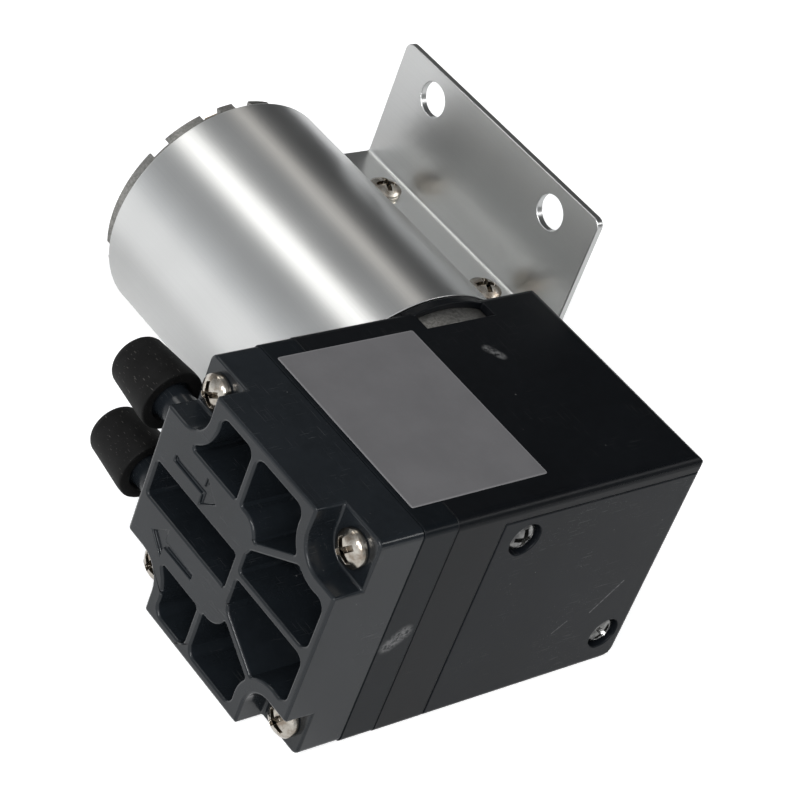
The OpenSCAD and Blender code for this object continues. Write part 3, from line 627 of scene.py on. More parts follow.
@dataclass(frozen=True)
class Palette:
    """Every finish on the pump, by the record's material slot."""

    marks: tuple[Mark, ...] = (
        Mark((-23.1, -14.5, 13.4), (-21.5, -14.5, 14.7), 1.3, 1.0, 0.35),
        Mark((6.3, -14.5, 8.9), (9.5, -14.5, 12.5), 0.16, 0.9, 0.5),
        Mark((1.5, -14.5, 7.3), (3.1, -14.5, 8.6), 0.14, 0.7, 0.5),
        Mark((0.5, 6.9, 28.6), (1.3, 5.5, 28.6), 0.8, 0.7, 0.5),
    )

    def finishes(self) -> dict[str, object]:
        """Give each slot its finish.

        Returns:
            The finish objects by slot name.
        """
        steel = (0.56, 0.57, 0.58)
        marks = self.marks
        return {
            "cover_plastic": MouldedPlastic(
                "ribbed_cover_plastic", linear(27, 31, 35), 0.19, 0.36, dust=0.6, marks=marks
            ),
            "plate_plastic": MouldedPlastic(
                "valve_plate_plastic", linear(16, 20, 24), 0.32, 0.15, dust=0.5, marks=marks
            ),
            "case_plastic": MouldedPlastic(
                "crankcase_plastic",
                linear(13, 15, 18),
                0.32,
                0.15,
                dust=0.35,
                scratches=0.2,
                marks=marks,
            ),
            "side_plastic": MouldedPlastic(
                "side_cover_plastic",
                linear(16, 19, 23),
                0.34,
                0.135,
                dust=1.0,
                scratches=0.8,
                marks=marks,
            ),
            "black_rubber": Rubber("black_rubber", linear(16, 16, 16)),
            "diaphragm_rubber": Rubber("diaphragm_rubber", linear(34, 34, 34), dust=0.0),
            "white_nylon": MouldedPlastic(
                "white_nylon", linear(214, 211, 202), 0.4, dust=0.0, scratches=0.2
            ),
            "end_cap_plastic": MouldedPlastic("end_cap_plastic", linear(30, 30, 32), 0.45),
            "label_foil": BlankFoil(
                "blank_label_foil", linear(120, 119, 121), (-23.7, -11.25), (-6.2, 11.55)
            ),
            "can_steel": ZincedSteel("can_steel", (0.3, 0.295, 0.28)),
            "holder_aluminium": RolledMetal("holder_aluminium", (0.68, 0.685, 0.68), 0.31),
            "screw_nickel": PlatedMetal("nickel_screw", (0.52, 0.49, 0.44), (0.3, 0.25, 0.2), 0.2),
            "screw_steel": PlatedMetal("zinc_screw", (0.34, 0.34, 0.33), (0.14, 0.14, 0.14), 0.24),
            "bearing_steel": PlatedMetal(
                "bearing_steel", (0.62, 0.63, 0.65), (0.55, 0.56, 0.58), 0.16, 0.2
            ),
            "shaft_steel": RolledMetal("shaft_steel", (0.62, 0.63, 0.64), 0.2, (1.0, 1.0, 1.0)),
            "brass": PlatedMetal("brass", (0.72, 0.53, 0.26), (0.6, 0.42, 0.2), 0.26, 0.35),
            "bronze": Sintered("sintered_bronze", (0.55, 0.4, 0.2), 0.9, 0.45),
            "copper": PlatedMetal("copper_wire", (0.7, 0.33, 0.16), (0.52, 0.2, 0.08), 0.3, 0.3),
            "magnet_ferrite": Sintered("ferrite", (0.05, 0.05, 0.055), 0.2, 0.6),
            "core_steel": Sintered("core_laminations", steel, 0.9, 0.45, 0.5),
            "carbon": Sintered("brush_carbon", (0.04, 0.037, 0.034), 0.1, 0.6),
            "spring_steel": RolledMetal("spring_steel", steel, 0.3, (0.05, 1.0, 1.0)),
        }

    def build(self) -> dict[str, bpy.types.Material]:
        """Make every material.

        Returns:
            The materials by slot name.
        """
        return {slot: finish.build() for slot, finish in self.finishes().items()}


class Workshop:
    """Makes, dresses and mounts the pieces on the frame."""

    def __init__(self, materials: dict[str, bpy.types.Material]) -> None:
        """Keep the materials and read each node's slot and body from the record.

        Args:
            materials: the finished materials by slot name.
        """
        self.materials = materials
        self.slots = {s["node"]: s["material_slot"] for s in FRAME["record"]["subparts"]}
        self.bodies = {
            node: body
            for body, nodes in FRAME["record"]["behaviour"]["bodies"].items()
            for node in nodes
        }

    def dress(self, node: str) -> None:
        """Give a CAD node that stays in view its finish.

        Args:
            node: the CAD node.
        """
        held = FRAME["nodes"][node].data.materials
        held.clear()
        held.append(self.materials[self.slots[node]])
        LOG.info("dressed %s", node)

    def mount(self, piece: bpy.types.Object, node: str) -> bpy.types.Object:
        """Put a new piece in a node's place.

        Args:
            piece: the finished object, at the origin.
            node: the CAD node that it stands for.

        Returns:
            The piece, riding on the node's body.
        """
        if not piece.data.materials:
            piece.data.materials.append(self.materials[self.slots[node]])
        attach(piece, self.bodies[node])
        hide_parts(node)
        LOG.info("mounted %s for %s", piece.name, node)
        return piece

    @staticmethod
    def link(name: str, mesh: bpy.types.Mesh) -> bpy.types.Object:
        """Put a mesh in the scene as an object.

        Args:
            name: the new object's name.
            mesh: its mesh.

        Returns:
            The new object.
        """
        made = bpy.data.objects.new(name, mesh)
        bpy.context.scene.collection.objects.link(made)
        return made

    @staticmethod
    def from_shape(name: str, shape: bmesh.types.BMesh) -> bpy.types.Object:
        """Turn a working shape into an object and free it.

        Args:
            name: the new object's name.
            shape: the working shape.

        Returns:
            The new object.
        """
        mesh = bpy.data.meshes.new(name)
        shape.to_mesh(mesh)
        shape.free()
        return Workshop.link(name, mesh)

    @staticmethod
    def prisms(name: str, ends: list[tuple[list[Vector], list[Vector]]]) -> bpy.types.Object:
        """Make closed prisms, each between two matching outlines.

        Args:
            name: the new object's name.
            ends: each prism's two outlines in millimetres, corner for corner.

        Returns:
            One object with all the prisms, their faces outward.
        """
        shape = bmesh.new()
        for pair in ends:
            low, high = ([shape.verts.new(spot * MM) for spot in row] for row in pair)
            shape.faces.new(low)
            shape.faces.new(list(reversed(high)))
            for k in range(len(low)):
                j = (k + 1) % len(low)
                shape.faces.new((low[k], high[k], high[j], low[j]))
        bmesh.ops.recalc_face_normals(shape, faces=shape.faces)
        return Workshop.from_shape(name, shape)

    @staticmethod
    def cut(piece: bpy.types.Object, cutter: bpy.types.Object, crossing: bool = False) -> None:
        """Take a cutter's volume from a piece and remove the cutter.

        Args:
            piece: the object to cut.
            cutter: the volume to take away.
            crossing: whether the cutter's own parts cross each other.
        """
        modifier = piece.modifiers.new("cut", "BOOLEAN")
        modifier.operation = "DIFFERENCE"
        modifier.solver = "EXACT"
        modifier.use_self = crossing
        modifier.object = cutter
        Workshop.bake(piece)
        bpy.data.objects.remove(cutter)

    @staticmethod
    def smooth(mesh: bpy.types.Mesh, sharp_deg: float) -> None:
        """Smooth a mesh's faces between its sharp edges.

        Args:
            mesh: the mesh to shade.
            sharp_deg: the angle from which an edge stays sharp.
        """
        mesh.polygons.foreach_set("use_smooth", [True] * len(mesh.polygons))
        mesh.set_sharp_from_angle(angle=math.radians(sharp_deg))

    @staticmethod
    def bake(piece: bpy.types.Object) -> bpy.types.Object:
        """Turn a piece's live modifiers into its plain mesh.

        Args:
            piece: the object with modifiers.

        Returns:
            The same object, without modifiers.
        """
        graph = bpy.context.evaluated_depsgraph_get()
        mesh = bpy.data.meshes.new_from_object(
            piece.evaluated_get(graph), preserve_all_data_layers=True, depsgraph=graph
        )
        piece.modifiers.clear()
        piece.data = mesh
        return piece

    @staticmethod
    def soften(
        piece: bpy.types.Object,
        width_mm: float,
        segments: int,
        angle_deg: float,
        seam: float = math.inf,
    ) -> bpy.types.Object:
        """Round an object's edges, less where a face beside them is low.

        Args:
            piece: the object to round.
            width_mm: the width of the rounded edge.
            segments: the faces across it.
            angle_deg: the edge angle from which it is rounded.
            seam: the X in metres from which edges stay nearly sharp.

        Returns:
            The object with its plain rounded mesh, the flats shaded flat.
        """
        width = width_mm * MM
        shallow, past_seam, stray = 0.35, 0.25, 0.5
        shortest, sharp = MM / 1000, math.radians(angle_deg)
        shape = bmesh.new()
        shape.from_mesh(piece.data)
        weight = shape.edges.layers.float.new("bevel_weight_edge")
        for edge in shape.edges:
            if len(edge.link_faces) == 2 and edge.calc_face_angle(0.0) > sharp:
                low = min(face.calc_area() for face in edge.link_faces)
                length = max(edge.calc_length(), shortest)
                edge[weight] = min(1.0, shallow * low / (width * length))
                if min(vert.co.x for vert in edge.verts) > seam:
                    edge[weight] *= past_seam
        shape.to_mesh(piece.data)
        before = BVHTree.FromBMesh(shape)
        least = [min(vert.co[k] for vert in shape.verts) for k in range(3)]
        most = [max(vert.co[k] for vert in shape.verts) for k in range(3)]
        shape.free()
        bevel = piece.modifiers.new("edge", "BEVEL")
        bevel.width = width
        bevel.segments = segments
        bevel.limit_method = "WEIGHT"
        bevel.use_clamp_overlap = False
        Workshop.bake(piece)
        for vertex in piece.data.vertices:
            spot, _, _, gap = before.find_nearest(vertex.co)
            if gap > width * stray:
                vertex.co = spot
            vertex.co = [max(a, min(b, c)) for a, b, c in zip(least, most, vertex.co)]
        even = piece.modifiers.new("flat faces", "WEIGHTED_NORMAL")
        even.mode = "FACE_AREA"
        even.weight = 90
        even.keep_sharp = True
        return Workshop.bake(piece)

    @staticmethod
    def flatten(shape: bmesh.types.BMesh) -> None:
        """Join the faces that lie in one plane.

        Args:
            shape: the shape to change.
        """
        flat_deg = 0.4
        bmesh.ops.dissolve_limit(
            shape,
            angle_limit=math.radians(flat_deg),
            use_dissolve_boundaries=False,
            verts=shape.verts,
            edges=shape.edges,
        )

    def merged(self, node: str) -> bmesh.types.BMesh:
        """Copy a node's shape with its corners joined and its flats whole.

        Args:
            node: the CAD node to copy.

        Returns:
            The copy, to be freed by the caller.
        """
        joined_mm = 0.0015
        shape = bmesh.new()
        shape.from_mesh(FRAME["nodes"][node].data)
        bmesh.ops.remove_doubles(shape, verts=shape.verts, dist=joined_mm * MM)
        self.flatten(shape)
        return shape

    def eased(
        self,
        node: str,
        name: str,
        width_mm: float,
        segments: int = 2,
        angle_deg: float = 28.0,
        start: bpy.types.Object | None = None,
        seam: float = math.inf,
    ) -> bpy.types.Object:
        """Round the edges of a node's shape.

        Args:
            node: the CAD node to copy.
            name: the new piece's name.
            width_mm: the width of the rounded edge.
            segments: the faces across it.
            angle_deg: the edge angle from which it is rounded.
            start: an object to round instead of the node's copy.
            seam: the X in metres from which edges stay nearly sharp.

        Returns:
            The new piece, mounted in the node's place.
        """
        if start is None:
            start = self.from_shape(name, self.merged(node))
        self.smooth(start.data, angle_deg)
        return self.mount(self.soften(start, width_mm, segments, angle_deg, seam), node)

    def turned(
        self,
        name: str,
        profile: list[tuple[float, float]],
        centre: tuple[float, float, float],
        axis: Axis,
        steps: int = 64,
    ) -> bpy.types.Object:
        """Turn a closed profile about an axis.

        Args:
            name: the new object's name.
            profile: pairs of radius and height in millimetres.
            centre: the axis's foot in millimetres.
            axis: the row axis that it runs along.
            steps: the faces round it.

        Returns:
            The new object, with its faces outward.
        """
        lean = {
            Axis.Y: Matrix.Rotation(-math.pi / 2, 4, "X"),
            Axis.Z: Matrix.Identity(4),
        }[axis]
        place = Matrix.Translation(Vector(centre) * MM) @ lean
        shape = bmesh.new()
        rings = []
        for step in range(steps):
            angle = 2 * math.pi * step / steps
            ring = []
            for r, h in ((r * MM, h * MM) for r, h in profile):
                spot = Vector((r * math.cos(angle), r * math.sin(angle), h))
                ring.append(shape.verts.new(place @ spot))
            rings.append(ring)
        count = len(profile)
        for step in range(steps):
            here, there = rings[step], rings[(step + 1) % steps]
            for k in range(count):
                j = (k + 1) % count
                if profile[k][0] == 0 and profile[j][0] == 0:
                    continue
                shape.faces.new((here[k], there[k], there[j], here[j]))
        same = 1e-7
        bmesh.ops.remove_doubles(shape, verts=shape.verts, dist=same)
        bmesh.ops.dissolve_degenerate(shape, edges=shape.edges, dist=same)
        bmesh.ops.recalc_face_normals(shape, faces=shape.faces)
        return self.from_shape(name, shape)


@dataclass
class ScrewPattern:
    """One kind of pan head cross-recess screw and the places that it goes in."""

    node: str
    name: str
    head_r: float
    head_h: float
    shank_r: float
    length: float
    lean: tuple[float, float, float]
    seats: list[tuple[float, float, float]]
    seed: int = 1
    recess: float = 0.72
    slot: float = 0.15
    edge_mm: float = 0.035
    thread_pitch: float = 0.4
    thread_root: float = 0.86

    def head_profile(self) -> list[tuple[float, float]]:
        """Give the head and threaded shank.

        Returns:
            Radius and height pairs, from the crown's pole to the tip's.
        """
        steps, crown, dome_r = 8, self.head_h * 0.55, self.head_r * 0.985
        rim, foot, chamfer, bare = 0.02, 0.12, 0.1, 0.3
        root_r, tip_r = self.shank_r * self.thread_root, self.shank_r * 0.8
        dome = (self.head_r**2 + crown**2) / (2 * crown)
        profile = [(0.0, self.head_h)]
        for k in range(1, steps + 1):
            r = dome_r * k / steps
            profile.append((r, self.head_h - dome + math.sqrt(dome**2 - r**2)))
        profile += [
            (self.head_r, self.head_h - crown - rim),
            (self.head_r, foot),
            (self.head_r - chamfer, 0.0),
            (self.shank_r, 0.0),
        ]
        z = -bare
        while z > bare - self.length:
            profile += [(root_r, z), (self.shank_r, z - self.thread_pitch / 2)]
            z -= self.thread_pitch
        return profile + [(tip_r, -self.length), (0.0, -self.length)]

    def cutter(self, shop: Workshop) -> bpy.types.Object:
        """Make the cross that is cut from the head.

        Args:
            shop: the workshop that links objects.

        Returns:
            The cutter as an object standing on the Z axis.
        """
        half, width = self.head_r * self.recess, self.head_r * self.slot
        foot, mouth = self.head_h * 0.15, self.head_h + 0.4
        ends = []
        for turn in (0.0, math.pi / 2):
            lean = Matrix.Rotation(turn, 3, "Z")
            rows = []
            for z, long, broad in ((foot, 0.7, 0.75), (mouth, 1.08, 1.15)):
                reach, wide = half * long, width * broad
                corners = ((reach, wide), (-reach, wide), (-reach, -wide), (reach, -wide))
                rows.append([lean @ Vector((x, y, z)) for x, y in corners])
            ends.append(rows)
        return shop.prisms(self.name + "_cutter", ends)

    def master(self, shop: Workshop) -> bpy.types.Object:
        """Make one screw standing on the Z axis.

        Args:
            shop: the workshop that turns the head.

        Returns:
            The screw, to be instanced.
        """
        screw = shop.turned(self.name + "_one", self.head_profile(), (0, 0, 0), Axis.Z, 40)
        shop.cut(screw, self.cutter(shop), crossing=True)
        sharp_deg = 38
        shop.smooth(screw.data, sharp_deg)
        return shop.soften(screw, self.edge_mm, 2, sharp_deg)

    def tree(self) -> bpy.types.NodeTree:
        """Build the Geometry Nodes tree that puts a screw at each seat.

        Returns:
            The tree, with inputs Screw, Lean, Size, Turn Seed and Finish.
        """
        tree = bpy.data.node_groups.new(self.name + "_row", "GeometryNodeTree")
        face = tree.interface
        for label, kind in (
            ("Seats", "Geometry"),
            ("Screw", "Object"),
            ("Lean", "Vector"),
            ("Size", "Float"),
            ("Turn Seed", "Int"),
            ("Finish", "Material"),
        ):
            face.new_socket(label, in_out="INPUT", socket_type="NodeSocket" + kind)
        face.new_socket("Screws", in_out="OUTPUT", socket_type="NodeSocketGeometry")
        add, join = tree.nodes.new, tree.links.new
        given, result = add("NodeGroupInput"), add("NodeGroupOutput")
        points = add("GeometryNodeMeshToPoints")
        source = add("GeometryNodeObjectInfo")
        place = add("GeometryNodeInstanceOnPoints")
        spin = add("GeometryNodeRotateInstances")
        chance = add("FunctionNodeRandomValue")
        chance.data_type = "FLOAT_VECTOR"
        chance.inputs[0].default_value = (0, 0, 0)
        chance.inputs[1].default_value = (0, 0, 2 * math.pi)
        real = add("GeometryNodeRealizeInstances")
        paint = add("GeometryNodeSetMaterial")
        join(given.outputs["Seats"], points.inputs[0])
        join(given.outputs["Screw"], source.inputs["Object"])
        join(points.outputs[0], place.inputs["Points"])
        join(source.outputs["Geometry"], place.inputs["Instance"])
        join(given.outputs["Lean"], place.inputs["Rotation"])
        join(given.outputs["Size"], place.inputs["Scale"])
        join(given.outputs["Turn Seed"], chance.inputs["Seed"])
        join(place.outputs[0], spin.inputs["Instances"])
        join(chance.outputs[0], spin.inputs["Rotation"])
        join(spin.outputs[0], real.inputs[0])
        join(real.outputs[0], paint.inputs["Geometry"])
        join(given.outputs["Finish"], paint.inputs["Material"])
        join(paint.outputs[0], result.inputs[0])
        return tree

    def build(self, shop: Workshop) -> bpy.types.Object:
        """Place the screws and mount them for their node.

        Args:
            shop: the workshop that mounts the piece.

        Returns:
            One object with all the screws of this kind.
        """
        mesh = bpy.data.meshes.new(self.name)
        mesh.from_pydata([tuple(c * MM for c in seat) for seat in self.seats], [], [])
        row = shop.link(self.name, mesh)
        master = self.master(shop)
        tree = self.tree()
        names = {s.name: s.identifier for s in tree.interface.items_tree if s.in_out == "INPUT"}
        modifier = row.modifiers.new("row", "NODES")
        modifier.node_group = tree
        modifier[names["Screw"]] = master
        modifier[names["Lean"]] = self.lean
        modifier[names["Size"]] = 1.0
        modifier[names["Turn Seed"]] = self.seed
        modifier[names["Finish"]] = shop.materials[shop.slots[self.node]]
        shop.bake(row)
        bpy.data.objects.remove(master)
        return shop.mount(row, self.node)


class Field:
    """A grid of numbers over a flat outline, traced where it passes zero."""

    def __init__(self, outline: np.ndarray, margin: float, cell: float) -> None:
        """Lay the grid.

        Args:
            outline: the closed outline's corners in millimetres.
            margin: how far the grid goes past them.
            cell: the width of a grid square.
        """
        low, high = outline.min(0) - margin, outline.max(0) + margin
        self.across = np.arange(low[0], high[0], cell)
        self.along = np.arange(low[1], high[1], cell)
        grid = np.meshgrid(self.across, self.along, indexing="ij")
        self.points = np.stack([g.ravel() for g in grid], axis=1)

    def distance(self, loops: list[np.ndarray]) -> np.ndarray:
        """Give each grid point's distance to the nearest outline.

        Args:
            loops: closed outlines as arrays of corners.

        Returns:
            The distances, in the order of the points.
        """
        best = np.full(len(self.points), 1e9)
        for loop in loops:
            for start, end in zip(loop, np.roll(loop, -1, axis=0)):
                side = end - start
                reach = self.points - start
                part = np.clip(reach @ side / max(side @ side, 1e-12), 0.0, 1.0)
                best = np.minimum(best, np.hypot(*(reach - part[:, None] * side).T))
        return best

    def inside(self, loop: np.ndarray) -> np.ndarray:
        """Tell which grid points lie inside a closed outline.

        Args:
            loop: the outline's corners.

        Returns:
            True or False for each point.
        """
        result = np.zeros(len(self.points), dtype=bool)
        x, y = self.points.T
        for (x0, y0), (x1, y1) in zip(loop, np.roll(loop, -1, axis=0)):
            if y0 == y1:
                continue
            crosses = (y0 > y) != (y1 > y)
            result ^= crosses & (x < x0 + (y - y0) * (x1 - x0) / (y1 - y0))
        return result

    def trace(self, values: np.ndarray) -> list[np.ndarray]:
        """Follow the lines where the values pass zero.

        Args:
            values: one number for each grid point.

        Returns:
            Closed outlines as arrays of corners.
        """
        size = (len(self.across), len(self.along))
        table = values.reshape(size)
        signs = table > 0
        cells = signs[:-1, :-1].astype(int) + signs[1:, :-1] + signs[1:, 1:] + signs[:-1, 1:]
        place, links = {}, {}
        for i, j in zip(*np.nonzero((cells > 0) & (cells < 4))):
            ring = ((i, j), (i + 1, j), (i + 1, j + 1), (i, j + 1))
            cut = []
            for a, b in zip(ring, ring[1:] + ring[:1]):
                if signs[a] != signs[b]:
                    key = (a, b) if a < b else (b, a)
                    part = table[key[0]] / (table[key[0]] - table[key[1]])
                    ends = [np.array((self.across[c[0]], self.along[c[1]])) for c in key]
                    place[key] = ends[0] + (ends[1] - ends[0]) * part
                    cut.append(key)
            for a, b in zip(cut[::2], cut[1::2]):
                links.setdefault(a, []).append(b)
                links.setdefault(b, []).append(a)
        loops = []
        while links:
            key, last, loop = next(iter(links)), None, []
            while key in links:
                loop.append(place[key])
                onward = [k for k in links.pop(key) if k != last]
                last, key = key, onward[0] if onward else None
            loops.append(np.array(loop))
        return loops


@dataclass
class RibPockets:
    """The pockets between the ribs, opened again with rounded corners."""

    face_x: float = COVER_FACE_X
    floor_x: float = -26.6
    wall_r: float = 1.0
    rib_r: float = 0.3
    cell: float = 0.1
    over: float = 0.5
    thin: float = 0.006
    inner_y: float = 10.2
    inner_z: tuple[float, float] = (4.4, 24.0)
    slot_z: tuple[float, float] = (11.3, 16.4)

    def close(self, shape: bmesh.types.BMesh) -> list[np.ndarray]:
        """Take the pockets out of a solid.

        Args:
            shape: the merged cover, left whole and without pockets.

        Returns:
            The outline of each pocket as Y and Z in millimetres.
        """
        gone, near = [], 0.01
        for face in shape.faces:
            xs = [v.co.x / MM for v in face.verts]
            deep = abs(max(xs) - self.floor_x) < near
            wall = abs(min(xs) - self.face_x) < near
            floor = abs(min(xs) - self.floor_x) < near and face.normal.x < -0.9
            if deep and (wall or floor):
                gone.append(face)
        bmesh.ops.delete(shape, geom=gone, context="FACES")
        rims = [e for e in shape.edges if e.is_boundary]
        filled = bmesh.ops.holes_fill(shape, edges=rims, sides=0)["faces"]
        outlines = [np.array([(v.co.y / MM, v.co.z / MM) for v in f.verts]) for f in filled]
        bmesh.ops.recalc_face_normals(shape, faces=shape.faces)
        Workshop.flatten(shape)
        return outlines

    def rounded(self, outline: np.ndarray) -> list[np.ndarray]:
        """Round an outline: widely at the walls and tightly at the ribs.

        Args:
            outline: the pocket's sharp corners.

        Returns:
            The rounded outlines, nearly always one.
        """
        grid = Field(outline, self.over, self.cell)
        depth = grid.distance([outline]) * np.where(grid.inside(outline), 1.0, -1.0)
        results, nowhere = [], 9.0
        for radius in (self.wall_r, self.rib_r):
            core = grid.trace(depth - radius)
            gap = grid.distance(core) if core else np.full(len(depth), nowhere)
            results.append(np.where(depth > radius, 1.0, radius - gap))
        y, z = grid.points.T
        inner = (np.abs(y) < self.inner_y) & (z > self.inner_z[0]) & (z < self.inner_z[1])
        inner |= (y > 0) & (z > self.slot_z[0]) & (z < self.slot_z[1])
        walls, ribs = results
        return [self.thinned(loop) for loop in grid.trace(np.where(inner, ribs, walls))]

    def thinned(self, loop: np.ndarray) -> np.ndarray:
        """Leave out the corners that a straight side nearly meets.

        Args:
            loop: the outline's corners.

        Returns:
            The corners that stay, in order.
        """
        count = len(loop)
        far = int(np.argmax(np.hypot(*(loop - loop[0]).T)))
        keep = {0, far}
        spans = [(0, far), (far, count)]
        while spans:
            a, b = spans.pop()
            if b - a < 2:
                continue
            start, side = loop[a], loop[b % count] - loop[a]
            reach = loop[a + 1 : b] - start
            length = max(np.hypot(*side), 1e-9)
            off = np.abs(reach[:, 0] * side[1] - reach[:, 1] * side[0]) / length
            if off.max() > self.thin:
                middle = a + 1 + int(np.argmax(off))
                keep.add(middle)
                spans += [(a, middle), (middle, b)]
        return loop[sorted(keep)]

    def cutter(self, shop: Workshop, outlines: list[np.ndarray]) -> bpy.types.Object:
        """Make the prisms that are cut from the face.

        Args:
            shop: the workshop that links objects.
            outlines: the sharp outlines of the pockets.

        Returns:
            One object with a prism for each pocket.
        """
        depths = (self.face_x - self.over, self.floor_x)
        loops = [loop for outline in outlines for loop in self.rounded(outline)]
        ends = [[[Vector((x, y, z)) for y, z in loop] for x in depths] for loop in loops]
        return shop.prisms("pocket_cutter", ends)

    def build(self, shop: Workshop, node: str, name: str) -> bpy.types.Object:
        """Copy a cover with its pockets rounded.

        Args:
            shop: the workshop that copies and links.
            node: the CAD node of the cover.
            name: the new object's name.

        Returns:
            The cover's body, its edges still sharp.
        """
        shape = shop.merged(node)
        outlines = self.close(shape)
        LOG.info("%d pockets", len(outlines))
        cover = shop.from_shape(name, shape)
        shop.cut(cover, self.cutter(shop, outlines))
        return cover


@dataclass
class PumpHead:
    """The ribbed cover, valve plate, seal and their screws."""

    edge_mm: float = 0.28
    plate_edge_mm: float = 0.06
    seam_mm: float = 0.3
    screw_y: tuple[float, float] = (-11.5, 11.5)
    screw_z: tuple[float, float] = (3.0, 25.6)
    seat_x: float = -29.6
    inner: tuple[str, ...] = (
        "head_gasket",
        "inlet_flap",
        "outlet_flap",
        "diaphragm",
        "clamp_disc",
        "diaphragm_screw",
    )

    def build(self, shop: Workshop) -> None:
        """Make the head's pieces.

        Args:
            shop: the workshop that makes and mounts the pieces.
        """
        name = "ribbed_head_cover"
        cover = RibPockets().build(shop, "head_cover", name)
        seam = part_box("head_cover")[1][0] - self.seam_mm * MM
        shop.eased("head_cover", name, self.edge_mm, 3, start=cover, seam=seam)
        shop.eased("valve_plate", "valve_plate_body", self.plate_edge_mm)
        ScrewPattern(
            node="head_screws",
            name="head_cover_screws",
            head_r=2.0,
            head_h=1.7,
            shank_r=1.25,
            length=16.0,
            lean=(0, -math.pi / 2, 0),
            seats=[(self.seat_x, y, z) for y in self.screw_y for z in self.screw_z],
            seed=4,
        ).build(shop)
        for node in self.inner:
            shop.dress(node)


@dataclass(frozen=True)
class BlockEdge:
    """A long edge of the block: its axis, corner and sides across, and radius in millimetres."""

    axis: int
    corner: tuple[float, float]
    sides: tuple[int, int]
    radius: float


@dataclass
class Crankcase:
    """The crankcase, its side cover, the blank label and their screws."""

    edge_mm: float = 0.12
    side_edge_mm: float = 0.14
    side_y: float = -13.35
    side_screws: tuple[tuple[float, float], ...] = ((-9.6, 23.6), (10.4, 4.5))
    label_low: tuple[float, float] = (-23.7, -11.25)
    label_size: tuple[float, float] = (17.5, 22.8)
    label_z: float = 28.6
    label_t: float = 0.12
    label_r: float = 0.25
    label_edge_mm: float = 0.04
    inner: tuple[str, ...] = (
        "connecting_rod",
        "bearing_outer",
        "bearing_balls",
        "bearing_inner",
        "eccentric",
        "grub_screw",
        "pin_clip",
        "motor_screws",
    )
    edges: tuple[BlockEdge, ...] = (
        BlockEdge(1, (13.8, 0.0), (1, -1), 3.0),
        BlockEdge(0, (-14.5, 28.6), (-1, 1), 1.2),
        BlockEdge(2, (13.8, 14.5), (1, 1), 2.0),
    )

    def build(self, shop: Workshop) -> None:
        """Make the crankcase's pieces.

        Args:
            shop: the workshop that makes and mounts the pieces.
        """
        for node, name, width in (
            ("crankcase", "crankcase_body", self.edge_mm),
            ("side_cover", "side_cover_plate", self.side_edge_mm),
        ):
            shop.eased(node, name, width, start=self.cornered(shop, node, name))
        self.label(shop)
        ScrewPattern(
            node="side_cover_screws",
            name="side_plate_screws",
            head_r=1.78,
            head_h=1.1,
            shank_r=1.0,
            length=7.0,
            lean=(math.pi / 2, 0, 0),
            seats=[(x, self.side_y, z) for x, z in self.side_screws],
            seed=9,
        ).build(shop)
        for node in self.inner:
            shop.dress(node)

    def cornered(self, shop: Workshop, node: str, name: str) -> bpy.types.Object:
        """Copy a node with three of the block's long edges more widely rounded.

        Args:
            shop: the workshop that copies and links.
            node: the CAD node to copy.
            name: the new object's name.

        Returns:
            The copy, its other edges still sharp.
        """
        block = shop.from_shape(name, shop.merged(node))
        for edge in self.edges:
            shop.cut(block, self.corner_cutter(shop, edge))
        return block

    def corner_cutter(self, shop: Workshop, edge: BlockEdge) -> bpy.types.Object:
        """Make the long prism that rounds one edge of the block.

        Args:
            shop: the workshop that links objects.
            edge: the edge to round.

        Returns:
            The cutter.
        """
        steps, over, clear = 14, 0.002, 0.5
        middle = over - edge.radius
        ring = [(clear, clear), (clear, middle)]
        for k in range(steps + 1):
            turn = math.radians(90 * k / steps)
            arc = (middle + edge.radius * math.cos(turn), middle + edge.radius * math.sin(turn))
            ring.append(arc)
        ring.append((middle, clear))
        across = [axis for axis in range(3) if axis != edge.axis]
        rows = []
        for end in (-60.0, 60.0):
            row = []
            for reach in ring:
                spot = Vector((end, end, end))
                for k, axis in enumerate(across):
                    spot[axis] = edge.corner[k] + edge.sides[k] * reach[k]
                row.append(spot)
            rows.append(row)
        return shop.prisms("corner_cutter", [rows])

    def label(self, shop: Workshop) -> None:
        """Make the thin label with rounded corners and a soft edge.

        Args:
            shop: the workshop that makes and mounts the pieces.
        """
        radius, steps, sharp_deg = self.label_r, 6, 40
        x0, y0 = self.label_low
        w, h = self.label_size
        ring = []
        for cx, cy, start in (
            (x0 + w - radius, y0 + h - radius, 0),
            (x0 + radius, y0 + h - radius, 90),
            (x0 + radius, y0 + radius, 180),
            (x0 + w - radius, y0 + radius, 270),
        ):
            for k in range(steps + 1):
                a = math.radians(start + 90 * k / steps)
                ring.append((cx + radius * math.cos(a), cy + radius * math.sin(a)))
        heights = (self.label_z, self.label_z + self.label_t)
        rows = [[Vector((x, y, z)) for x, y in ring] for z in heights]
        piece = shop.prisms("blank_label", [rows])
        shop.smooth(piece.data, sharp_deg)
        shop.mount(shop.soften(piece, self.label_edge_mm, 2, sharp_deg), "label")


@dataclass
class Motor:
    """The brushed motor: can, armature, brush gear and end cap."""

    eased: tuple[tuple[str, str, float], ...] = (
        ("motor_can", "motor_can_shell", 0.12),
        ("motor_end_cap", "motor_end_cap_body", 0.1),
        ("terminals", "solder_tabs", 0.05),
        ("earth_tab", "earth_strip", 0.05),
    )
    inner: tuple[str, ...] = (
        "front_bearing",
        "magnets",
        "magnet_clips",
        "motor_shaft",
        "shaft_spacers",
        "armature_core",
        "windings",
        "commutator",
        "brushes",
        "brush_arms",
        "rear_bearing",
    )

    def build(self, shop: Workshop) -> None:
        """Make the motor's pieces.

        Args:
            shop: the workshop that makes and mounts the pieces.
        """
        for node, name, width in self.eased:
            shop.eased(node, name, width)
        for node in self.inner:
            shop.dress(node)


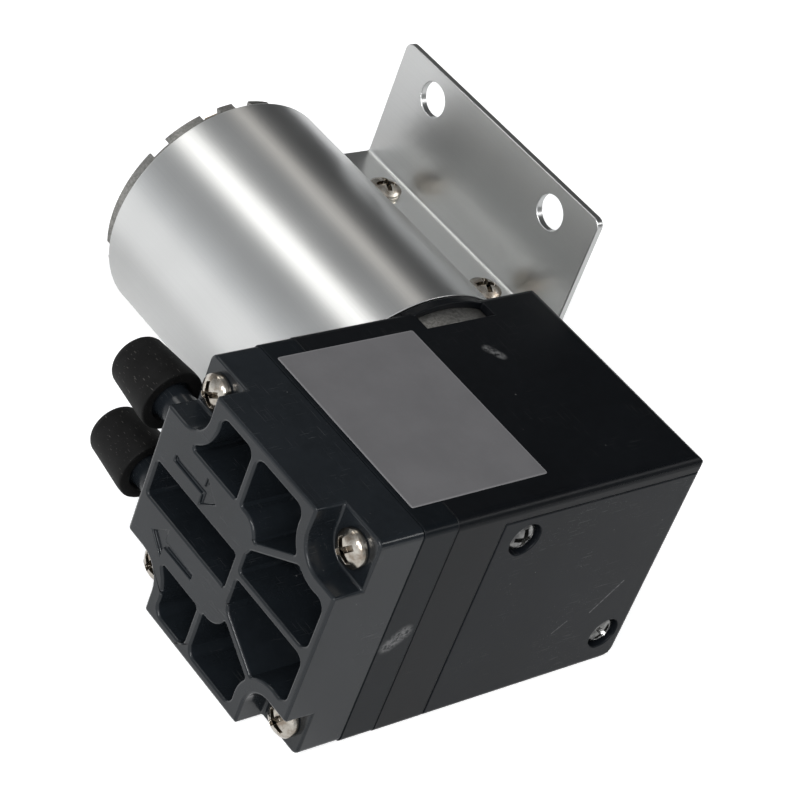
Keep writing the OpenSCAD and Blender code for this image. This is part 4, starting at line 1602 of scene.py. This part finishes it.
@dataclass
class Holder:
    """The bent sheet holder with its clamp screws and nuts."""

    clamp_x: float = 16.7
    clamp_ys: tuple[float, float] = (23.3, 42.7)
    flange_z: float = 20.5
    edge_mm: float = 0.09
    nut_edge_mm: float = 0.08

    def build(self, shop: Workshop) -> None:
        """Make the holder's pieces.

        Args:
            shop: the workshop that makes and mounts the pieces.
        """
        shop.eased("holder", "motor_holder_sheet", self.edge_mm, 2, 40.0)
        shop.eased("holder_nuts", "clamp_nuts", self.nut_edge_mm)
        ScrewPattern(
            node="holder_screws",
            name="clamp_screws",
            head_r=1.95,
            head_h=1.3,
            shank_r=1.0,
            length=5.2,
            lean=(0, 0, 0),
            seats=[(self.clamp_x, y, self.flange_z) for y in self.clamp_ys],
            seed=2,
        ).build(shop)


@dataclass
class HoseCaps:
    """The two rubber caps on the hose nozzles."""

    axis_x: float = -28.6
    start_y: float = 18.4
    length: float = 7.4
    open_r: float = 3.6
    tip_r: float = 3.1
    bore_r: float = 2.35
    tip_round: float = 1.05
    rim_round: float = 0.2
    heights: tuple[tuple[str, float], ...] = (("inlet_cap", 18.5), ("outlet_cap", 9.2))

    def profile(self) -> list[tuple[float, float]]:
        """Give the cap's closed section as radius and height pairs.

        Returns:
            The points from the tip's pole, round the outside, into the bore.
        """
        end, dip, dip_r = self.length, 0.02, self.tip_r * 0.62
        points = [(0.0, end - dip)]
        for k in range(1, 5):
            points.append((dip_r * k / 4, end - dip + dip * math.cos(k * 0.8)))
        r = self.tip_round
        for k in range(0, 9):
            a = math.radians(90 - 90 * k / 8)
            points.append((self.tip_r - r + r * math.cos(a), end - r + r * math.sin(a)))
        points += [(self.open_r - 0.02, 1.1), (self.open_r, 0.75)]
        r = self.rim_round
        for k in range(0, 5):
            a = math.radians(-90 * k / 4)
            points.append((self.open_r - r + r * math.cos(a), r + r * math.sin(a)))
        points += [(self.bore_r + 0.2, 0.0), (self.bore_r + 0.04, 0.08), (self.bore_r, 0.3)]
        points += [(self.bore_r, end - 1.4), (self.bore_r - 0.3, end - 1.2), (0.0, end - 1.2)]
        return points

    def build(self, shop: Workshop) -> None:
        """Make both caps.

        Args:
            shop: the workshop that makes and mounts the pieces.
        """
        steps, sharp_deg = 72, 50
        for node, z in self.heights:
            foot = (self.axis_x, self.start_y, z)
            cap = shop.turned(node + "_rubber", self.profile(), foot, Axis.Y, steps)
            shop.smooth(cap.data, sharp_deg)
            shop.mount(cap, node)


@dataclass(frozen=True)
class Softbox:
    """A rectangular lamp: its centre and size in metres, and its face's level, where 1 is white."""

    name: str
    place: tuple[float, float, float]
    size: tuple[float, float]
    level: float
    colour: tuple[float, float, float] = (1.0, 1.0, 1.0)

    def hang(self, target: tuple[float, float, float]) -> bpy.types.Object:
        """Hang the lamp, aimed at a point.

        Args:
            target: the point in metres.

        Returns:
            The lamp object.
        """
        data = bpy.data.lights.new(self.name, "AREA")
        data.shape = "RECTANGLE"
        data.size, data.size_y = self.size
        data.energy = self.level * math.pi * self.size[0] * self.size[1]
        data.color = self.colour
        lamp = bpy.data.objects.new(self.name, data)
        bpy.context.scene.collection.objects.link(lamp)
        lamp.location = self.place
        aim = Vector(target) - Vector(self.place)
        lamp.rotation_euler = aim.to_track_quat("-Z", "Y").to_euler()
        return lamp


@dataclass
class Studio:
    """The camera, lamps, world and floor."""

    lens_mm: float = 116.134
    sensor_mm: float = 36.0
    place: tuple[float, float, float] = (-0.174089, -0.130975, 0.173216)
    right: tuple[float, float, float] = (0.758331, -0.577056, 0.303216)
    up: tuple[float, float, float] = (0.169629, 0.623809, 0.762947)
    back: tuple[float, float, float] = (-0.629412, -0.527132, 0.570939)
    target: tuple[float, float, float] = (0.0, 0.01, 0.015)
    lamps: tuple[Softbox, ...] = (
        Softbox("back_softbox", (-0.29, 0.51, 0.62), (0.22, 0.22), 3.0, (1.0, 0.99, 0.96)),
        Softbox("right_softbox", (0.30, 0.50, 0.62), (0.12, 0.3), 1.0, (1.0, 0.95, 0.88)),
        Softbox("camera_softbox", (-0.66, -0.62, 0.62), (0.42, 0.42), 6.5),
        Softbox("left_softbox", (-0.74, -0.22, 0.6), (0.12, 0.12), 44.0),
        Softbox("right_front_softbox", (0.585, -0.53, 0.49), (0.16, 0.16), 7.0),
    )
    floor_reach: float = 3.0
    floor_z: float = -0.0001
    floor_grey: float = 0.78
    floor_glow: float = 0.55
    mirror_span: tuple[float, float] = (-22.0, -36.0)
    mirror_levels: tuple[float, float] = (0.2, 0.58)

    def build(self) -> None:
        """Set up the whole studio."""
        self.camera()
        for box in self.lamps:
            box.hang(self.target)
        self.world()
        self.floor()
        bpy.context.scene.view_settings.view_transform = "Standard"

    def camera(self) -> None:
        """Stand the camera where the photograph was taken."""
        data = bpy.data.cameras.new("camera")
        data.lens = self.lens_mm
        data.sensor_width = self.sensor_mm
        data.clip_start, data.clip_end = 0.01, 20.0
        eye = bpy.data.objects.new("camera", data)
        bpy.context.scene.collection.objects.link(eye)
        columns = Matrix((self.right, self.up, self.back)).transposed().to_4x4()
        eye.matrix_world = Matrix.Translation(self.place) @ columns
        bpy.context.scene.camera = eye

    @staticmethod
    def world() -> None:
        """Surround the pump with soft grey, darker beyond it and white for the camera."""
        behind, forward, above = (-0.66, -0.70, 0.28), (1, 0, 0), (0, 0, 1)
        g = Graph("studio", world=True)
        bpy.context.scene.world = g.owner
        seen = g.node("ShaderNodeLightPath").outputs["Is Camera Ray"]
        behind_camera = g.along(behind).step(0.0, 0.9) * 0.5
        overhead = g.along(forward).step(0.72, 0.1) * 0.22
        haze = g.along(above).step(0.42, -0.04) * g.along(forward).step(0.1, -0.5) * 0.5
        level = behind_camera + overhead + haze + 0.06
        grey, white = (
            g.node("ShaderNodeBackground", None, {"Color": colour, "Strength": strength})
            for colour, strength in (((0.96, 0.98, 1.0, 1), level), ((1, 1, 1, 1), 1.0))
        )
        inputs = {0: seen, 1: grey.outputs[0], 2: white.outputs[0]}
        both = g.node("ShaderNodeMixShader", None, inputs)
        g.node("ShaderNodeOutputWorld", None, {0: both.outputs[0]})

    def floor(self) -> None:
        """Lay a pale floor that keeps a soft shadow."""
        out, z = self.floor_reach, self.floor_z
        shape = bmesh.new()
        corners = ((-out, -out, z), (out, -out, z), (out, out, z), (-out, out, z))
        shape.faces.new([shape.verts.new(corner) for corner in corners])
        floor = Workshop.from_shape("floor", shape)
        g = Graph("pale_floor")
        rays = g.node("ShaderNodeLightPath").outputs
        mirrored = Value(g, rays["Is Glossy Ray"]).most(Value(g, rays["Is Transmission Ray"]))
        seen = Value(g, rays["Is Camera Ray"]) * self.floor_glow
        seen = seen.most(mirrored * g.axis(0).step(*self.mirror_span, self.mirror_levels))
        grey = (self.floor_grey, self.floor_grey, self.floor_grey, 1)
        plain = g.node("ShaderNodeBsdfDiffuse", None, {"Color": grey, "Roughness": 1.0})
        glow = g.node("ShaderNodeEmission", None, {"Color": (1, 1, 1, 1), "Strength": seen})
        both = g.node("ShaderNodeAddShader", None, {0: plain.outputs[0], 1: glow.outputs[0]})
        g.node("ShaderNodeOutputMaterial", None, {0: both.outputs[0]})
        floor.data.materials.append(g.owner)


def main() -> None:
    """Build the studio and every sub-assembly."""
    logging.basicConfig(level=logging.INFO, format="%(name)s: %(message)s")
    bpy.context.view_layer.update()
    Studio().build()
    shop = Workshop(Palette().build())
    for part in (PumpHead(), Crankcase(), Motor(), Holder(), HoseCaps()):
        part.build(shop)
        LOG.info("built %s", type(part).__name__)


if __name__ == "__main__":
    main()
